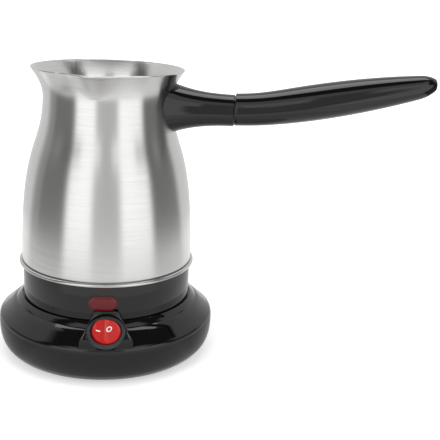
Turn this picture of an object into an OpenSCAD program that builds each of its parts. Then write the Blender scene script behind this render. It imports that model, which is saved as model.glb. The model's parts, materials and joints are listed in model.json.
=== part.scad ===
// Electric Turkish coffee maker: a waisted steel pot with a heater collar, which lifts off and turns on a
// round power base. The pot's axis is Z, its handle points along +X and its spout along -Y. Z = 0 is the
// surface that the feet stand on.

/* [Pot] */
// Outer radius of the pot at its bottom edge
belly_r = 52.45; // [50:0.05:53]
// Outer radius of the waist
waist_r = 38.5; // [36:0.1:42]
// Height of the waist
waist_z = 159; // [150:1:165]
// Outer radius of the mouth
mouth_r = 45.8; // [43:0.1:50]
// Height of the rim
rim_z = 176.4; // [172:0.1:185]
// Thickness of the steel wall
wall_t = 0.8; // [0.6:0.1:1.2]
// Height of the lower edge of the steel wall
shell_z = 59.3; // [58:0.1:62]
// How far the spout stands out from the rim
spout_out = 2.1; // [1.5:0.1:3.5]
// Distance between the axis that the spout is turned about and the pot's axis
spout_at = 25.5; // [20:0.5:28]
// Depth of the spout below the rim
spout_h = 14; // [12:1:20]

/* [Handle] */
// Height of the centre of the ferrule
handle_z = 154.3; // [150:0.1:158]
// Distance of the seam between ferrule and grip from the pot's axis
seam_x = 75.8; // [72:0.2:80]
// Distance of the tip of the grip from the pot's axis
tip_x = 195; // [180:1:205]
// Radius of the ferrule where it meets the pot
ferrule_root_r = 17; // [15:0.5:18]
// Radius of the ferrule at the seam
ferrule_end_r = 9.4; // [9:0.1:10]
// Half height of the grip at the seam
grip_start_h = 9.6; // [9.4:0.1:10.5]
// Half height of the grip at its thickest
grip_thick_h = 10.8; // [10:0.1:12]
// Distance of the grip's thickest part from the pot's axis
grip_thick_x = 124; // [115:1:135]
// Slope of the outer part of the grip, as rise over run
grip_slope = 0.197; // [0.1:0.001:0.22]
// How much wider than high the grip is at its thickest
grip_widening = 0.12; // [0:0.01:0.2]

/* [Collar] */
// Outer radius of the collar under the pot
collar_r = 51.75; // [50:0.05:52]
// Wall thickness of the collar
collar_t = 2; // [1.6:0.1:2.4]
// Height of the collar's lower edge
collar_z = 35.6; // [35.6:0.1:36]
// Width of the indicator lens
lens_w = 16.6; // [12:0.1:20]
// Height of the indicator lens
lens_h = 9; // [7:0.1:10]
// Height of the centre of the indicator lens
lens_z = 46.6; // [45:0.1:48]
// Angle of the indicator lens from the spout, towards the handle
lens_turn = 7.2; // [0:0.1:15]

/* [Base] */
// Angle by which the base stands turned under the pot
base_turn = 9.5; // [0:0.5:15]
// Outer radius of the base's wall, below the crest
base_r = 67; // [66.2:0.1:68]
// Radius of the crest between the sloping top and the wall
crest_r = 66.4; // [65:0.1:67]
// Height of the crest
crest_z = 24.5; // [22:0.1:26]
// Radius of the seat that the pot stands in
seat_r = 52.3; // [52.2:0.1:52.6]
// Height of the seat's floor
seat_z = 35.4; // [35:0.1:35.5]
// Height of the rim round the seat
seat_rim_z = 36.1; // [36:0.1:36.6]
// Radius of the base at its lower edge
skirt_r = 59.5; // [58:0.1:61]
// Wall thickness of the base cover
cover_t = 2; // [1.6:0.1:2.4]
// Radius of a rubber foot
foot_r = 5; // [4:0.5:6]
// Distance of the feet from the base's axis
foot_at = 50.5; // [46:0.5:51]
// Radius of the bore for the mains cord
cord_r = 3.3; // [3:0.1:3.6]

/* [Switch] */
// Radius of the switch flange
flange_r = 11.1; // [11:0.1:11.6]
// Distance of the flange's centre from the base's axis
nose_at = 62.4; // [62:0.1:63]
// Height of the flange's centre
nose_z = 34.2; // [33.5:0.1:34.5]
// Angle of the flange from level
nose_tilt = 32; // [31:1:36]
// Radius of the rocker
rocker_r = 8.35; // [8:0.05:8.4]
// Angle of the rocker to either side of its middle position
rocker_swing = 11; // [9:0.5:12]

/* [Hidden] */
$fn = 96;

steps = 16;          // pieces that a curve is drawn with
touch = 0.03;        // play between faces that rest on each other
thread_play = 0.05;  // play round a screw's thread
fit = 0.1;           // play between pieces of one body
gap = 0.3;           // space between bodies that move past each other
over = 1;            // how far a cutting shape runs past what it cuts
far = 40;            // longer than anything that it cuts
long = 250;          // longer than the handle

black = "#26282a";
rubber = "#1c1d1e";
steel = "#c8c9ca";
brass = "#c9a24a";
red = "#d4191c";
white = "#e9e6de";
brown = "#7a4a2a";
blue = "#2d5fa8";
green = "#7ea83a";

// Small screws and wires, the same everywhere
screw_r = 1.5;
head_r = 2.9;
head_t = 1.6;
screw_l = 12;
wire_r = 1.1;
lead_r = 0.35;
wire_cuts = 4;       // pieces of a wire between two of its points

// Points that draw the pot's outline towards them
belly_pull = [belly_r - 0.85, 136.2];
waist_pull = [waist_r + 1, 126.2];
flare_low = [waist_r, 166];
flare_high = [mouth_r - 3.6, 171.4];

// Heights and radii in the pot's heater
ring_z = 56.9;       // underside of the bottom ring
ring_w = 3.2;        // width of the ring's flat part
bead_r = 1.3;        // the ring's rolled edge
bead_z = ring_z + bead_r - 2 * fit;
seal_t = 1.6;
floor_z = 58.2;      // underside of the pot's floor
floor_t = 1;
floor_r = belly_r - wall_t - 0.35;
plate_t = 3.2;
plate_r = 44;
plate_z = floor_z - plate_t;
element_r = 3.3;
element_at = 33;
element_z = plate_z - element_r;
element_open = 40;   // angle left open between the element's ends
element_end = [element_at * sin(element_open / 2), element_at * cos(element_open / 2)];
cold_pin_r = 1.2;
cold_pin_z = element_z - 7;   // lower end of the element's cold pins
cover_z = 39;        // underside of the collar's base
cover_base_t = 2;
collar_edge = 0.4;   // chamfer at the collar's lower edge
stud_r = 2.6;
stud_at = 40.9;
stud_angles = [30, 150, 270];
thermostat_at = [-12, 10];
thermostat_r = 8;
thermostat_h = 6.5;
thermostat_tab = [4.8, 0.8, 1.8];
thermostat_tab_at = 4.5;
bracket_w = 6;
bracket_t = 0.8;
bracket_h = 3;
bracket_reach = thermostat_r + 3.5;
fuse_at = [18, -7];
fuse_r = 2.2;
fuse_l = 14;
fuse_lead_r = 0.5;
fuse_lead_l = 4;
lens_out = 0.9;      // how far the lens stands out of the collar
lens_lip = 1.1;      // how far the lens laps over its window
lamp_in = 5.6;       // distance of the lamp's axis from the collar's outside
lamp_r = 2.4;
lamp_l = 8;
lamp_end = -5;       // the lamp's flat end, left of the lens
resistor_at = [-16, 2.4];
resistor_r = 1.2;
resistor_l = 6;

// The round plug-in connector, the same on the pot and on the base
pin_r = 3;
pin_tip_z = 23;
pin_top_z = cover_z + 10;
inner_r = 7.8;
outer_r = 12.3;
ring_t = 1.4;
ring_tip_z = 25;
inner_top_z = cover_z + 5.9;
outer_top_z = cover_z + 4.4;
block_r = 15.6;      // the pot's block, where it goes through the collar's base
block_t = 3;
block_flange_r = 21;
block_flange_z = cover_z + cover_base_t;
block_roof_z = cover_z + 6;
block_top_z = cover_z + 7.2;
socket_r = 17;
socket_top_z = 38.2;
socket_low_z = 13;
socket_floor_z = 14.5;
socket_flange_w = 4;
socket_flange_t = 2.2;
groove_play = 0.5;
groove_z = 23.5;     // floor of the two grooves
leg_z = 9.5;         // lower end of the contact legs
leg_t = 0.8;
leg_w = 4;
pad_w = 10;          // width of a leaf contact's pad
bore_r = 5;
eyelet_r = 1;        // hole in the earth contact
shutter_t = 2;
shutter_dish = 0.6;  // depth of the hollow that the pot's pin rests in
spring_z = socket_floor_z + 0.7;
spring_turns = 5;
spring_wire_r = 0.35;
spring_r = 3.6;
shutter_top_z = pin_tip_z - gap;

// The base
rim_t = 0.5;         // width of the flat rim round the seat
skirt_z = 2.1;
wall_top_z = crest_z - 4;
bottom_z = 2.3;
bottom_t = 2.2;
bottom_r = 56.8;
bottom_lip_z = 4.7;  // where the wall becomes thinner for the bottom plate
foot_h = 3;
foot_edge = 0.6;     // chamfer of a foot
foot_angles = [45 : 90 : 315];
screw_at = 46;
screw_angles = [20, 160, 200, 340];
boss_r = 3.6;        // pillars that the bottom's screws go into
inlet_z = 12.5;
inlet_at = 65.9;
gland_r = 7;         // outer flange of the cord gland
gland_h = 3;
gland_neck_r = 5;
gland_lip = 1.5;
gland_lip_l = 2;
gland_wall = 3.5;    // wall of the boss that the gland is pressed into
gland_l = 7;
clamp_y = 49;
clamp_x = 7;         // distance of the clamp's screws from its middle
clamp_wall = 4;
clamp_w = 6;
clamp_h = 13;
clamp_z = bottom_z + bottom_t;
clamp_screw_l = 14;

// The switch, in a frame with its origin at the flange's centre and Z along the flange's normal
flange_t = 1.7;
flange_edge = 0.9;   // chamfer of the flange
hood_h = 2.2;        // height of the hood over the flange
pod_depth = 16;
pod_ledge = 1.2;     // width of the pod's surface round the flange
pod_skin = 0.8;      // wall of the pod round the barrel
barrel_r = 9.4;
barrel_h = 14;
barrel_floor = 1.4;
barrel_play = 0.25;  // play round the rocker
pivot_z = -1.2;
trunnion_r = 0.9;    // pins that the rocker turns on
trunnion_play = 0.06;
stem_r = 2.4;        // the rocker's stem, which holds the plunger
stem_low = 6.6;
stem_bore_z = 1.6;
plunger_r = 1.2;
plunger_tip = 9.3;   // distance of the plunger's tip from the pivot
plunger_l = 3.6;
plunger_coils = [-4.1, -3.3, -2.5];
plunger_coil_r = 0.8;
plunger_coil_wire_r = 0.25;
blade_z = -11;
blade_swing = 6;
blade_l = 12;
blade_w = 4;
blade_t = 0.8;
blade_pin_l = 6;     // the round pin that the blade tips on
contact_at = 5;
contact_r = 1.2;
contact_t = 0.5;
tab_at = [0, 5];     // middle of each terminal tab
tab_w = 3.6;
tab_t = 0.8;
tab_l = 5;           // length that stands out of the barrel

// Handle
handle_screw_r = 2;
handle_head_r = 3.4;
handle_head_t = 2.2;
handle_screw_l = 143;   // from the bracket to the head's seat
screw_slope = 0.145;
screw_angle = atan(screw_slope);
screw_root = [42, 153.2];
socket_start = 10;   // length of the threaded bracket along the screw
socket_back = 6;     // how far it reaches back, before the pot's wall cuts it
bracket_r = 4.6;
neck_z = 120;        // height above which the pot's wall cuts the handle's pieces
wall_play = 0.02;    // play between bracket and wall
ferrule_x = 34;
ferrule_pull = [[46, 11.6], [58, ferrule_end_r]];
bend_x = 88;         // where the grip begins to rise
bend_w = 14;         // how gently it does
cap_l = 11;          // length of the rounded tip
cap_steps = 6;
grip_sides = 28;
grip_stations = 20;
grip_thin = 4.2;     // how much thinner the grip becomes over grip_thin_l
grip_thin_l = 63;
seam_gap = 0.5;      // width of the groove between ferrule and grip
spigot_r = 8.6;      // step of the ferrule that the grip sits against

function bezier(p, t) =
    (1 - t) ^ 3 * p[0] + 3 * (1 - t) ^ 2 * t * p[1] + 3 * (1 - t) * t ^ 2 * p[2] + t ^ 3 * p[3];
function curve(p, n = steps) = [for (i = [0 : n]) bezier(p, i / n)];
function reversed(list) = [for (i = [len(list) - 1 : -1 : 0]) list[i]];
function inset_r(list, t) = [for (p = list) [p[0] - t, p[1]]];

// The pot's outline from the bottom edge to the rim
belly_curve = curve([[belly_r, shell_z], belly_pull, waist_pull, [waist_r, waist_z]]);
flare_curve = curve([[waist_r, waist_z], flare_low, flare_high, [mouth_r, rim_z]], 8);
pot_outline = concat(belly_curve, [for (i = [1 : len(flare_curve) - 1]) flare_curve[i]]);

// A point on the smooth line through the points of a list, at u from 0 to the list's last index
function along(list, u) =
    let (i = min(floor(u), len(list) - 2), t = u - i,
         a = list[max(i - 1, 0)], b = list[i], c = list[i + 1], d = list[min(i + 2, len(list) - 1)])
    (2 * b + (c - a) * t + (2 * a - 5 * b + 4 * c - d) * t ^ 2 + (3 * b - a - 3 * c + d) * t ^ 3) / 2;

// A wire: one closed tube swept along a smooth line through the points
module wire(points, r, sides = 8, reference = [0.9, 0.4, 0.17]) {
    last = (len(points) - 1) * wire_cuts;
    path = [for (i = [0 : last]) along(points, i / wire_cuts)];
    rings = [for (i = [0 : last])
        let (run = path[min(i + 1, last)] - path[max(i - 1, 0)],
             side = cross(run, reference), u = side / norm(side), v = cross(run, u) / norm(run))
        each [for (k = [0 : sides - 1]) path[i] + r * (cos(360 * k / sides) * u + sin(360 * k / sides) * v)]];
    polyhedron(rings, tube_faces(last, sides));
}

// Faces of a closed tube whose points run ring by ring
function tube_faces(last, sides) = concat(
    [[for (k = [0 : sides - 1]) k]],
    [for (i = [0 : last - 1], k = [0 : sides - 1])
        let (a = i * sides + k, b = i * sides + (k + 1) % sides)
        [b, a, a + sides, b + sides]],
    [[for (k = [sides - 1 : -1 : 0]) last * sides + k]]);

module tube(r_out, r_in, z_low, z_high) {
    rotate_extrude()
        translate([r_in, z_low])
            square([r_out - r_in, z_high - z_low]);
}

module on_base() {
    rotate([0, 0, base_turn])
        children();
}

// Puts its children in the switch's frame
module on_nose() {
    on_base()
        translate([0, -nose_at, nose_z])
            rotate([nose_tilt, 0, 0])
                children();
}

module pan_screw(length) {
    cylinder(r = screw_r, h = length, $fn = 32);
    cylinder(r = head_r, h = head_t, $fn = 32);
}

// ---- base ----

cone_curve = [[seat_r + rim_t, seat_rim_z], [crest_r, crest_z]];
crest_curve = curve([[crest_r, crest_z], [crest_r + 0.4, crest_z - 0.9], [base_r, crest_z - 2.4],
                     [base_r, wall_top_z]], 6);
wall_curve = curve([[base_r, wall_top_z], [base_r, 11.5], [base_r - 1.6, 4.6], [skirt_r, skirt_z]], 12);
cone_drop = cover_t / cos(atan((seat_rim_z - crest_z) / (crest_r - seat_r)));

// The pod that carries the switch, seen along the flange's normal
module pod_outline() {
    circle(r = flange_r + pod_ledge);
    polygon([[-6.2, 14.5], [6.2, 14.5], [12.4, 2], [15.8, -6.5], [13.6, -11.6], [-13.6, -11.6],
             [-15.8, -6.5], [-12.4, 2]]);
}

// The raised wall round the upper side of the switch flange
module pod_hood() {
    difference() {
        intersection() {
            translate([0, 0, -flange_t - over])
                linear_extrude(over + flange_t + hood_h)
                    pod_outline();
            rotate([90, 0, 90])
                linear_extrude(far, center = true)
                    polygon([[2, -flange_t - over], [15, -flange_t - over], [15, hood_h], [12.4, hood_h],
                             [2, -flange_t]]);
        }
        cylinder(r = flange_r + fit, h = far, center = true);
    }
}

module base_cover() {
    upper_wall = [for (p = wall_curve) if (p[1] > bottom_lip_z + gap) p];
    inner_wall = reversed(inset_r(upper_wall, cover_t + 2 * fit));
    color(black) {
        difference() {
            union() {
                on_base()
                    rotate_extrude()
                        polygon(concat([[0, skirt_z], [0, seat_rim_z]], cone_curve,
                                       [for (i = [1 : len(crest_curve) - 1]) crest_curve[i]],
                                       [for (i = [1 : len(wall_curve) - 1]) wall_curve[i]]));
                intersection() {
                    on_nose()
                        translate([0, 0, -pod_depth])
                            linear_extrude(pod_depth - flange_t)
                                pod_outline();
                    translate([0, 0, crest_z - fit])
                        cylinder(r = crest_r - fit, h = far);
                }
                on_nose() {
                    translate([0, 0, -pod_depth])
                        cylinder(r = barrel_r + pod_skin, h = pod_depth - flange_t);
                    pod_hood();
                }
                on_base()
                    translate([0, inlet_at, inlet_z])
                        rotate([90, 0, 0])
                            cylinder(r = gland_neck_r + gland_wall, h = gland_l - fit);
            }
            on_base()
                rotate_extrude()
                    polygon(concat([[0, skirt_z - over], [bottom_r + 2 * fit, skirt_z - over],
                                    [bottom_r + 2 * fit, bottom_lip_z]],
                                   inner_wall,
                                   [[crest_r - cover_t, crest_z - cone_drop], [seat_r, seat_z - cover_t],
                                    [0, seat_z - cover_t]]));
            on_nose()
                translate([0, 0, -pod_depth - 2 * over])
                    cylinder(r = barrel_r + fit, h = far);
            translate([0, 0, seat_z])
                cylinder(r = seat_r, h = far);
            translate([0, 0, seat_z - 2 * cover_t])
                cylinder(r = socket_r + 2 * fit, h = far);
            translate([0, 0, lens_z - lens_h / 2 - 2 * gap])
                cylinder(r = collar_r + lens_out + 2 * gap, h = far);
            on_base()
                translate([0, inlet_at, inlet_z])
                    rotate([90, 0, 0]) {
                        translate([0, 0, -over])
                            cylinder(r = gland_neck_r + fit, h = far / 2);
                        translate([0, 0, -gland_h - over])
                            cylinder(r = gland_r + 2 * fit, h = gland_h + over);
                    }
        }
        on_base()
            for (a = screw_angles)
                rotate([0, 0, a])
                    translate([screw_at, 0, 0])
                        tube(boss_r, screw_r + thread_play, clamp_z, seat_z - cover_t + fit);
    }
}

module base_bottom() {
    color(black)
        on_base()
            difference() {
                translate([0, 0, bottom_z])
                    cylinder(r = bottom_r, h = bottom_t);
                for (a = screw_angles)
                    rotate([0, 0, a])
                        translate([screw_at, 0, 0]) {
                            cylinder(r = screw_r + fit, h = far, $fn = 32);
                            cylinder(r = head_r + gap, h = bottom_z + head_t + fit, $fn = 32);
                        }
                for (a = foot_angles)
                    rotate([0, 0, a])
                        translate([foot_at, 0, 0])
                            cylinder(r = foot_r + fit, h = foot_h);
            }
}

module rubber_feet() {
    color(rubber)
        on_base()
            for (a = foot_angles)
                rotate([0, 0, a])
                    translate([foot_at, 0, 0])
                        rotate_extrude()
                            polygon([[0, 0], [foot_r - foot_edge, 0], [foot_r, foot_edge], [foot_r, foot_h],
                                     [0, foot_h]]);
}

module base_screws() {
    color(steel)
        on_base()
            for (a = screw_angles)
                rotate([0, 0, a])
                    translate([screw_at, 0, bottom_z + fit])
                        pan_screw(screw_l);
}

module cord_gland() {
    color(rubber)
        on_base()
            translate([0, inlet_at, inlet_z])
                rotate([90, 0, 0])
                    difference() {
                        union() {
                            translate([0, 0, -gland_h])
                                cylinder(r = gland_r, h = gland_h);
                            cylinder(r = gland_neck_r, h = gland_l);
                            translate([0, 0, gland_l])
                                cylinder(r = gland_neck_r + gland_lip, h = gland_lip_l);
                        }
                        cylinder(r = cord_r, h = far, center = true);
                    }
}

module cord_clamp() {
    color(black)
        on_base()
            difference() {
                translate([-clamp_x - clamp_wall, clamp_y - clamp_w / 2, clamp_z])
                    cube([2 * (clamp_x + clamp_wall), clamp_w, clamp_h]);
                translate([0, clamp_y, inlet_z])
                    rotate([90, 0, 0])
                        cylinder(r = cord_r, h = far / 2, center = true);
                for (x = [-clamp_x, clamp_x])
                    translate([x, clamp_y, 0])
                        cylinder(r = screw_r + thread_play, h = far, $fn = 32);
            }
}

module clamp_screws() {
    color(steel)
        on_base()
            for (x = [-clamp_x, clamp_x])
                translate([x, clamp_y, clamp_z + clamp_h + head_t])
                    rotate([180, 0, 0])
                        pan_screw(clamp_screw_l);
}

// The points that each wire passes through
module base_wire_live() {
    color(brown)
        on_base()
            wire([[1.5, 44, inlet_z], [22, 38, 8], [34, 10, 7.5], [28, -24, 7.5], [10, -38, 6.4],
                  [-5, -45, 9], [-0.2, -51.6, 16.6]], wire_r);
}

module base_wire_neutral() {
    color(blue)
        on_base()
            wire([[-1.5, 44, inlet_z], [-14, 34, 9], [-17, 12, 7], [-13, 3, 6.5],
                  [-13, 0, leg_z - 0.7]], wire_r);
}

module base_wire_earth() {
    color(green)
        on_base()
            wire([[0, 44, inlet_z - 2], [2, 30, 8], [2, 12, 6.6], [0, 3, 6.5], [0, 0, leg_z - 0.7]], wire_r);
}

module base_wire_switched() {
    color(brown)
        on_base()
            wire([[5, -51.5, 16.6], [6, -42, 13.4], [1, -30, 9.5], [-7, -14, 6.8], [-8.5, -3.5, 6.3],
                  [-8.5, 0, leg_z - 0.7]], wire_r);
}

module base_connector() {
    color(black)
        on_base()
            difference() {
                union() {
                    translate([0, 0, socket_low_z])
                        cylinder(r = socket_r, h = socket_top_z - socket_low_z);
                    translate([0, 0, seat_z - cover_t - socket_flange_t])
                        cylinder(r = socket_r + socket_flange_w, h = socket_flange_t - touch);
                }
                translate([0, 0, socket_floor_z])
                    cylinder(r = bore_r, h = far);
                tube(inner_r + ring_t + groove_play, inner_r - groove_play, groove_z, far);
                tube(outer_r + ring_t + groove_play, outer_r - groove_play, groove_z, far);
                for (x = [inner_r + ring_t / 2, outer_r + ring_t / 2, 0]) {
                    slot_top = (x > 0 ? groove_z : socket_floor_z) + over;
                    translate([-x - leg_t / 2 - fit, -leg_w / 2 - 2 * fit, leg_z])
                        cube([leg_t + 2 * fit, leg_w + 4 * fit, slot_top - leg_z]);
                }
            }
}

// A leaf contact: a curved pad under the pot's ring, on a flat leg that leaves the socket downwards
module leaf_contact(r) {
    intersection() {
        tube(r + ring_t, r, groove_z + fit, groove_z + over + fit);
        translate([-far, -pad_w / 2, 0])
            cube([far - pad_w / 2, pad_w, far]);
    }
    translate([-r - (ring_t + leg_t) / 2, -leg_w / 2, leg_z])
        cube([leg_t, leg_w, groove_z + over / 2 - leg_z]);
}

module contact_inner() {
    color(brass)
        on_base()
            leaf_contact(inner_r);
}

module contact_outer() {
    color(brass)
        on_base()
            leaf_contact(outer_r);
}

module contact_earth() {
    color(brass)
        on_base() {
            translate([-leg_t / 2, -leg_w / 2, leg_z])
                cube([leg_t, leg_w, spring_z - 2 * fit - leg_z]);
            tube(bore_r - fit, eyelet_r, socket_floor_z + fit, spring_z);
        }
}

module shutter_spring() {
    top = shutter_top_z - shutter_t - 2 * fit;
    pitch = (top - spring_z - 2 * spring_wire_r) / (spring_turns - 1);
    color(steel)
        for (i = [0 : spring_turns - 1])
            translate([0, 0, spring_z + fit + spring_wire_r + i * pitch])
                rotate_extrude()
                    translate([spring_r, 0])
                        circle(r = spring_wire_r, $fn = 16);
}

module connector_shutter() {
    color(white)
        difference() {
            translate([0, 0, shutter_top_z - shutter_t])
                cylinder(r = bore_r - thread_play, h = shutter_t);
            translate([0, 0, shutter_top_z - shutter_dish])
                cylinder(r = pin_r + gap, h = over);
        }
}

// ---- switch ----

module switch_body() {
    color("#3a3c3e")
        on_nose()
            difference() {
                union() {
                    rotate_extrude()
                        polygon([[0, -flange_t], [flange_r, -flange_t], [flange_r, -flange_edge],
                                 [flange_r - flange_edge, 0], [0, 0]]);
                    translate([0, 0, -barrel_h])
                        cylinder(r = barrel_r, h = barrel_h - flange_t + over);
                }
                translate([0, 0, -barrel_h + barrel_floor])
                    cylinder(r = rocker_r + barrel_play, h = far);
                translate([0, 0, pivot_z])
                    rotate([90, 0, 0])
                        cylinder(r = trunnion_r + trunnion_play, h = 2 * barrel_r, center = true, $fn = 32);
                for (x = tab_at)
                    translate([x - tab_w / 2 - fit, -tab_t / 2 - fit, -2 * barrel_h])
                        cube([tab_w + 2 * fit, tab_t + 2 * fit, 2 * barrel_h - 10]);
            }
}

module terminal_tab(x, top) {
    translate([x - tab_w / 2, -tab_t / 2, -barrel_h - tab_l])
        cube([tab_w, tab_t, barrel_h + tab_l + top]);
}

module switch_terminal_common() {
    color(brass)
        on_nose()
            terminal_tab(tab_at[0], blade_z - blade_t);
}

module switch_terminal_load() {
    color(brass)
        on_nose()
            terminal_tab(tab_at[1], blade_z - 2 * blade_t);
}

module rocker_solid() {
    dish = curve([[-9, 3.35], [-3, 2.2], [-1.5, 1.6], [0, 1.6]], 6);
    intersection() {
        sphere(r = rocker_r);
        rotate([90, 0, 0])
            linear_extrude(3 * rocker_r, center = true)
                polygon(concat(dish, [for (i = [len(dish) - 2 : -1 : 0]) [-dish[i][0], dish[i][1]]],
                               [[9, -3], [-9, -3]]));
    }
    translate([0, 0, -stem_low])
        cylinder(r = stem_r, h = stem_low - stem_bore_z, $fn = 32);
    rotate([90, 0, 0])
        cylinder(r = trunnion_r, h = 2 * (barrel_r - 2 * fit), center = true, $fn = 32);
}

module in_rocker() {
    on_nose()
        translate([0, 0, pivot_z])
            rotate([0, rocker_swing, 0])
                children();
}

module rocker() {
    color(red)
        in_rocker()
            difference() {
                rocker_solid();
                translate([0, 0, -2 * stem_low])
                    cylinder(r = plunger_r + fit, h = 2 * stem_low - stem_bore_z, $fn = 32);
            }
}

module rocker_plunger() {
    color(white)
        in_rocker()
            translate([0, 0, -plunger_tip + plunger_r]) {
                sphere(r = plunger_r, $fn = 32);
                cylinder(r = plunger_r, h = plunger_l, $fn = 32);
            }
}

module rocker_spring() {
    color(steel)
        in_rocker()
            for (z = plunger_coils)
                translate([0, 0, z])
                    rotate_extrude()
                        translate([plunger_coil_r, 0])
                            circle(r = plunger_coil_wire_r, $fn = 16);
}

module contact_blade() {
    color(brass)
        on_nose()
            translate([0, 0, blade_z])
                rotate([0, -blade_swing, 0]) {
                    cube([blade_l, blade_w, blade_t], center = true);
                    rotate([90, 0, 0])
                        cylinder(r = blade_t / 2, h = blade_pin_l, center = true, $fn = 24);
                    translate([contact_at, 0, -blade_t])
                        cylinder(r = contact_r, h = contact_t, $fn = 24);
                }
}

// ---- pot ----

// The pressed spout is the pot's own outline, pushed outwards by more and more and turned about a nearer axis
spout_outline = [for (p = pot_outline) if (p[1] >= rim_z - spout_h)
    let (rise = (p[1] - rim_z + spout_h) / spout_h)
    [p[0] + spout_out * (1 - (1 - rise) ^ 2) - spout_at, p[1]]];

module spout_solid(inset) {
    low = spout_outline[0];
    top_z = rim_z + (inset > 0 ? over : 0);
    translate([0, -spout_at, 0])
        rotate_extrude()
            polygon(concat([[0, low[1]]], inset_r(spout_outline, inset), [[0, top_z]]));
}

module pot_shell() {
    color(steel)
        difference() {
            union() {
                rotate_extrude()
                    polygon(concat([[0, shell_z]], pot_outline, [[0, rim_z]]));
                spout_solid(0);
            }
            rotate_extrude()
                polygon(concat([[0, shell_z - over], [belly_r - wall_t, shell_z - over]],
                               inset_r(pot_outline, wall_t),
                               [[mouth_r - wall_t, rim_z + over], [0, rim_z + over]]));
            spout_solid(wall_t);
        }
}

module floor_plate() {
    color(steel)
        translate([0, 0, floor_z])
            cylinder(r = floor_r, h = floor_t);
}

module bottom_ring() {
    color(steel)
        rotate_extrude() {
            translate([belly_r + gap, bead_z])
                circle(r = bead_r, $fn = 32);
            translate([belly_r + 2 * fit - ring_w, ring_z])
                square([ring_w, floor_z - ring_z]);
        }
}

module seal_ring() {
    color("#b9b4aa")
        tube(collar_r - collar_t - fit, plate_r + stud_r, ring_z - seal_t, ring_z);
}

module heat_plate() {
    color("#b7babd")
        translate([0, 0, plate_z])
            cylinder(r = plate_r, h = plate_t);
}

module heating_element() {
    color("#8b8d8f") {
        translate([0, 0, element_z])
            rotate([0, 0, 90 + element_open / 2])
                rotate_extrude(angle = 360 - element_open)
                    translate([element_at, 0])
                        circle(r = element_r, $fn = 32);
        for (side = [-1, 1])
            rotate([0, 0, 90 + side * element_open / 2])
                translate([element_at, 0, cold_pin_z])
                    cylinder(r = cold_pin_r, h = element_z - cold_pin_z, $fn = 24);
    }
}

module heater_studs() {
    color(steel)
        for (a = stud_angles)
            rotate([0, 0, a])
                translate([stud_at, 0, 0])
                    tube(stud_r, screw_r + thread_play, cover_z + cover_base_t, plate_z);
}

module thermostat() {
    color("#d8d4c8")
        translate([thermostat_at[0], thermostat_at[1], plate_z - thermostat_h]) {
            cylinder(r = thermostat_r, h = thermostat_h);
            for (x = [-thermostat_tab_at, thermostat_tab_at])
                translate([x - thermostat_tab[0] / 2, -thermostat_tab[1] / 2, -thermostat_tab[2]])
                    cube(thermostat_tab + [0, 0, over]);
        }
}

module thermostat_bracket() {
    color(steel)
        translate([thermostat_at[0], thermostat_at[1], plate_z - bracket_h])
            difference() {
                union() {
                    translate([-bracket_w / 2, -bracket_reach, 0])
                        cube([bracket_w, 2 * bracket_reach, bracket_t]);
                    for (y = [-bracket_reach, bracket_reach - bracket_t])
                        translate([-bracket_w / 2, y, 0])
                            cube([bracket_w, bracket_t, bracket_h]);
                }
                cylinder(r = thermostat_r + fit, h = far, center = true);
            }
}

module thermal_fuse() {
    color(white)
        translate([fuse_at[0], fuse_at[1], plate_z - fuse_r - 2 * fit])
            rotate([0, 90, 90]) {
                cylinder(r = fuse_r, h = fuse_l, $fn = 32);
                translate([0, 0, -fuse_lead_l])
                    cylinder(r = fuse_lead_r, h = fuse_l + 2 * fuse_lead_l, $fn = 16);
            }
}

// A lens-shaped bar that goes through the collar's front wall
module collar_front(w, h) {
    rotate([0, 0, lens_turn])
        translate([0, -collar_r, lens_z])
            rotate([90, 0, 0])
                linear_extrude(far / 2, center = true) {
                    square([w - h, h], center = true);
                    for (x = [-1, 1])
                        translate([x * (w - h) / 2, 0])
                            circle(r = h / 2, $fn = 48);
                }
}

module pot_collar() {
    inside = collar_r - collar_t;
    color(black)
        difference() {
            rotate_extrude()
                polygon([[inside, collar_z + collar_edge], [inside + collar_edge, collar_z],
                         [collar_r - collar_edge, collar_z], [collar_r, collar_z + collar_edge],
                         [collar_r, ring_z], [inside, ring_z]]);
            collar_front(lens_w - 2 * lens_lip + 2 * fit, lens_h - 2 * lens_lip + 2 * fit);
        }
}

module indicator_lens() {
    color("#7d1418") {
        intersection() {
            tube(collar_r + lens_out, collar_r + touch, lens_z - lens_h, lens_z + lens_h);
            collar_front(lens_w, lens_h);
        }
        intersection() {
            tube(collar_r + lens_out / 2, collar_r - collar_t - lens_out, lens_z - lens_h, lens_z + lens_h);
            collar_front(lens_w - 2 * lens_lip, lens_h - 2 * lens_lip);
        }
    }
}

module at_lamp() {
    rotate([0, 0, lens_turn])
        translate([0, -collar_r + lamp_in, lens_z])
            children();
}

module neon_lamp() {
    color("#e8b48a")
        at_lamp() {
            translate([lamp_end, 0, 0])
                rotate([0, 90, 0])
                    cylinder(r = lamp_r, h = lamp_l, $fn = 32);
            translate([lamp_end + lamp_l, 0, 0])
                sphere(r = lamp_r, $fn = 32);
        }
}

module lamp_resistor() {
    color("#c7b28a")
        at_lamp()
            translate([resistor_at[0], resistor_at[1], 0])
                rotate([0, 90, 0])
                    cylinder(r = resistor_r, h = resistor_l, $fn = 24);
}

module lamp_leads() {
    color(steel)
        at_lamp() {
            wire([[lamp_end - gap, 0, 0.9], [-7.5, 1.4, 0.6],
                  [resistor_at[0] + resistor_l + gap, resistor_at[1], 0]], lead_r);
            wire([[resistor_at[0] - gap, resistor_at[1], 0], [-20, 7, 0], [-20, 14, -2]], lead_r);
            wire([[lamp_end - gap, 0, -0.9], [-8, 2, -3.4], [-12, 9, -4.4]], lead_r);
        }
}

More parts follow.
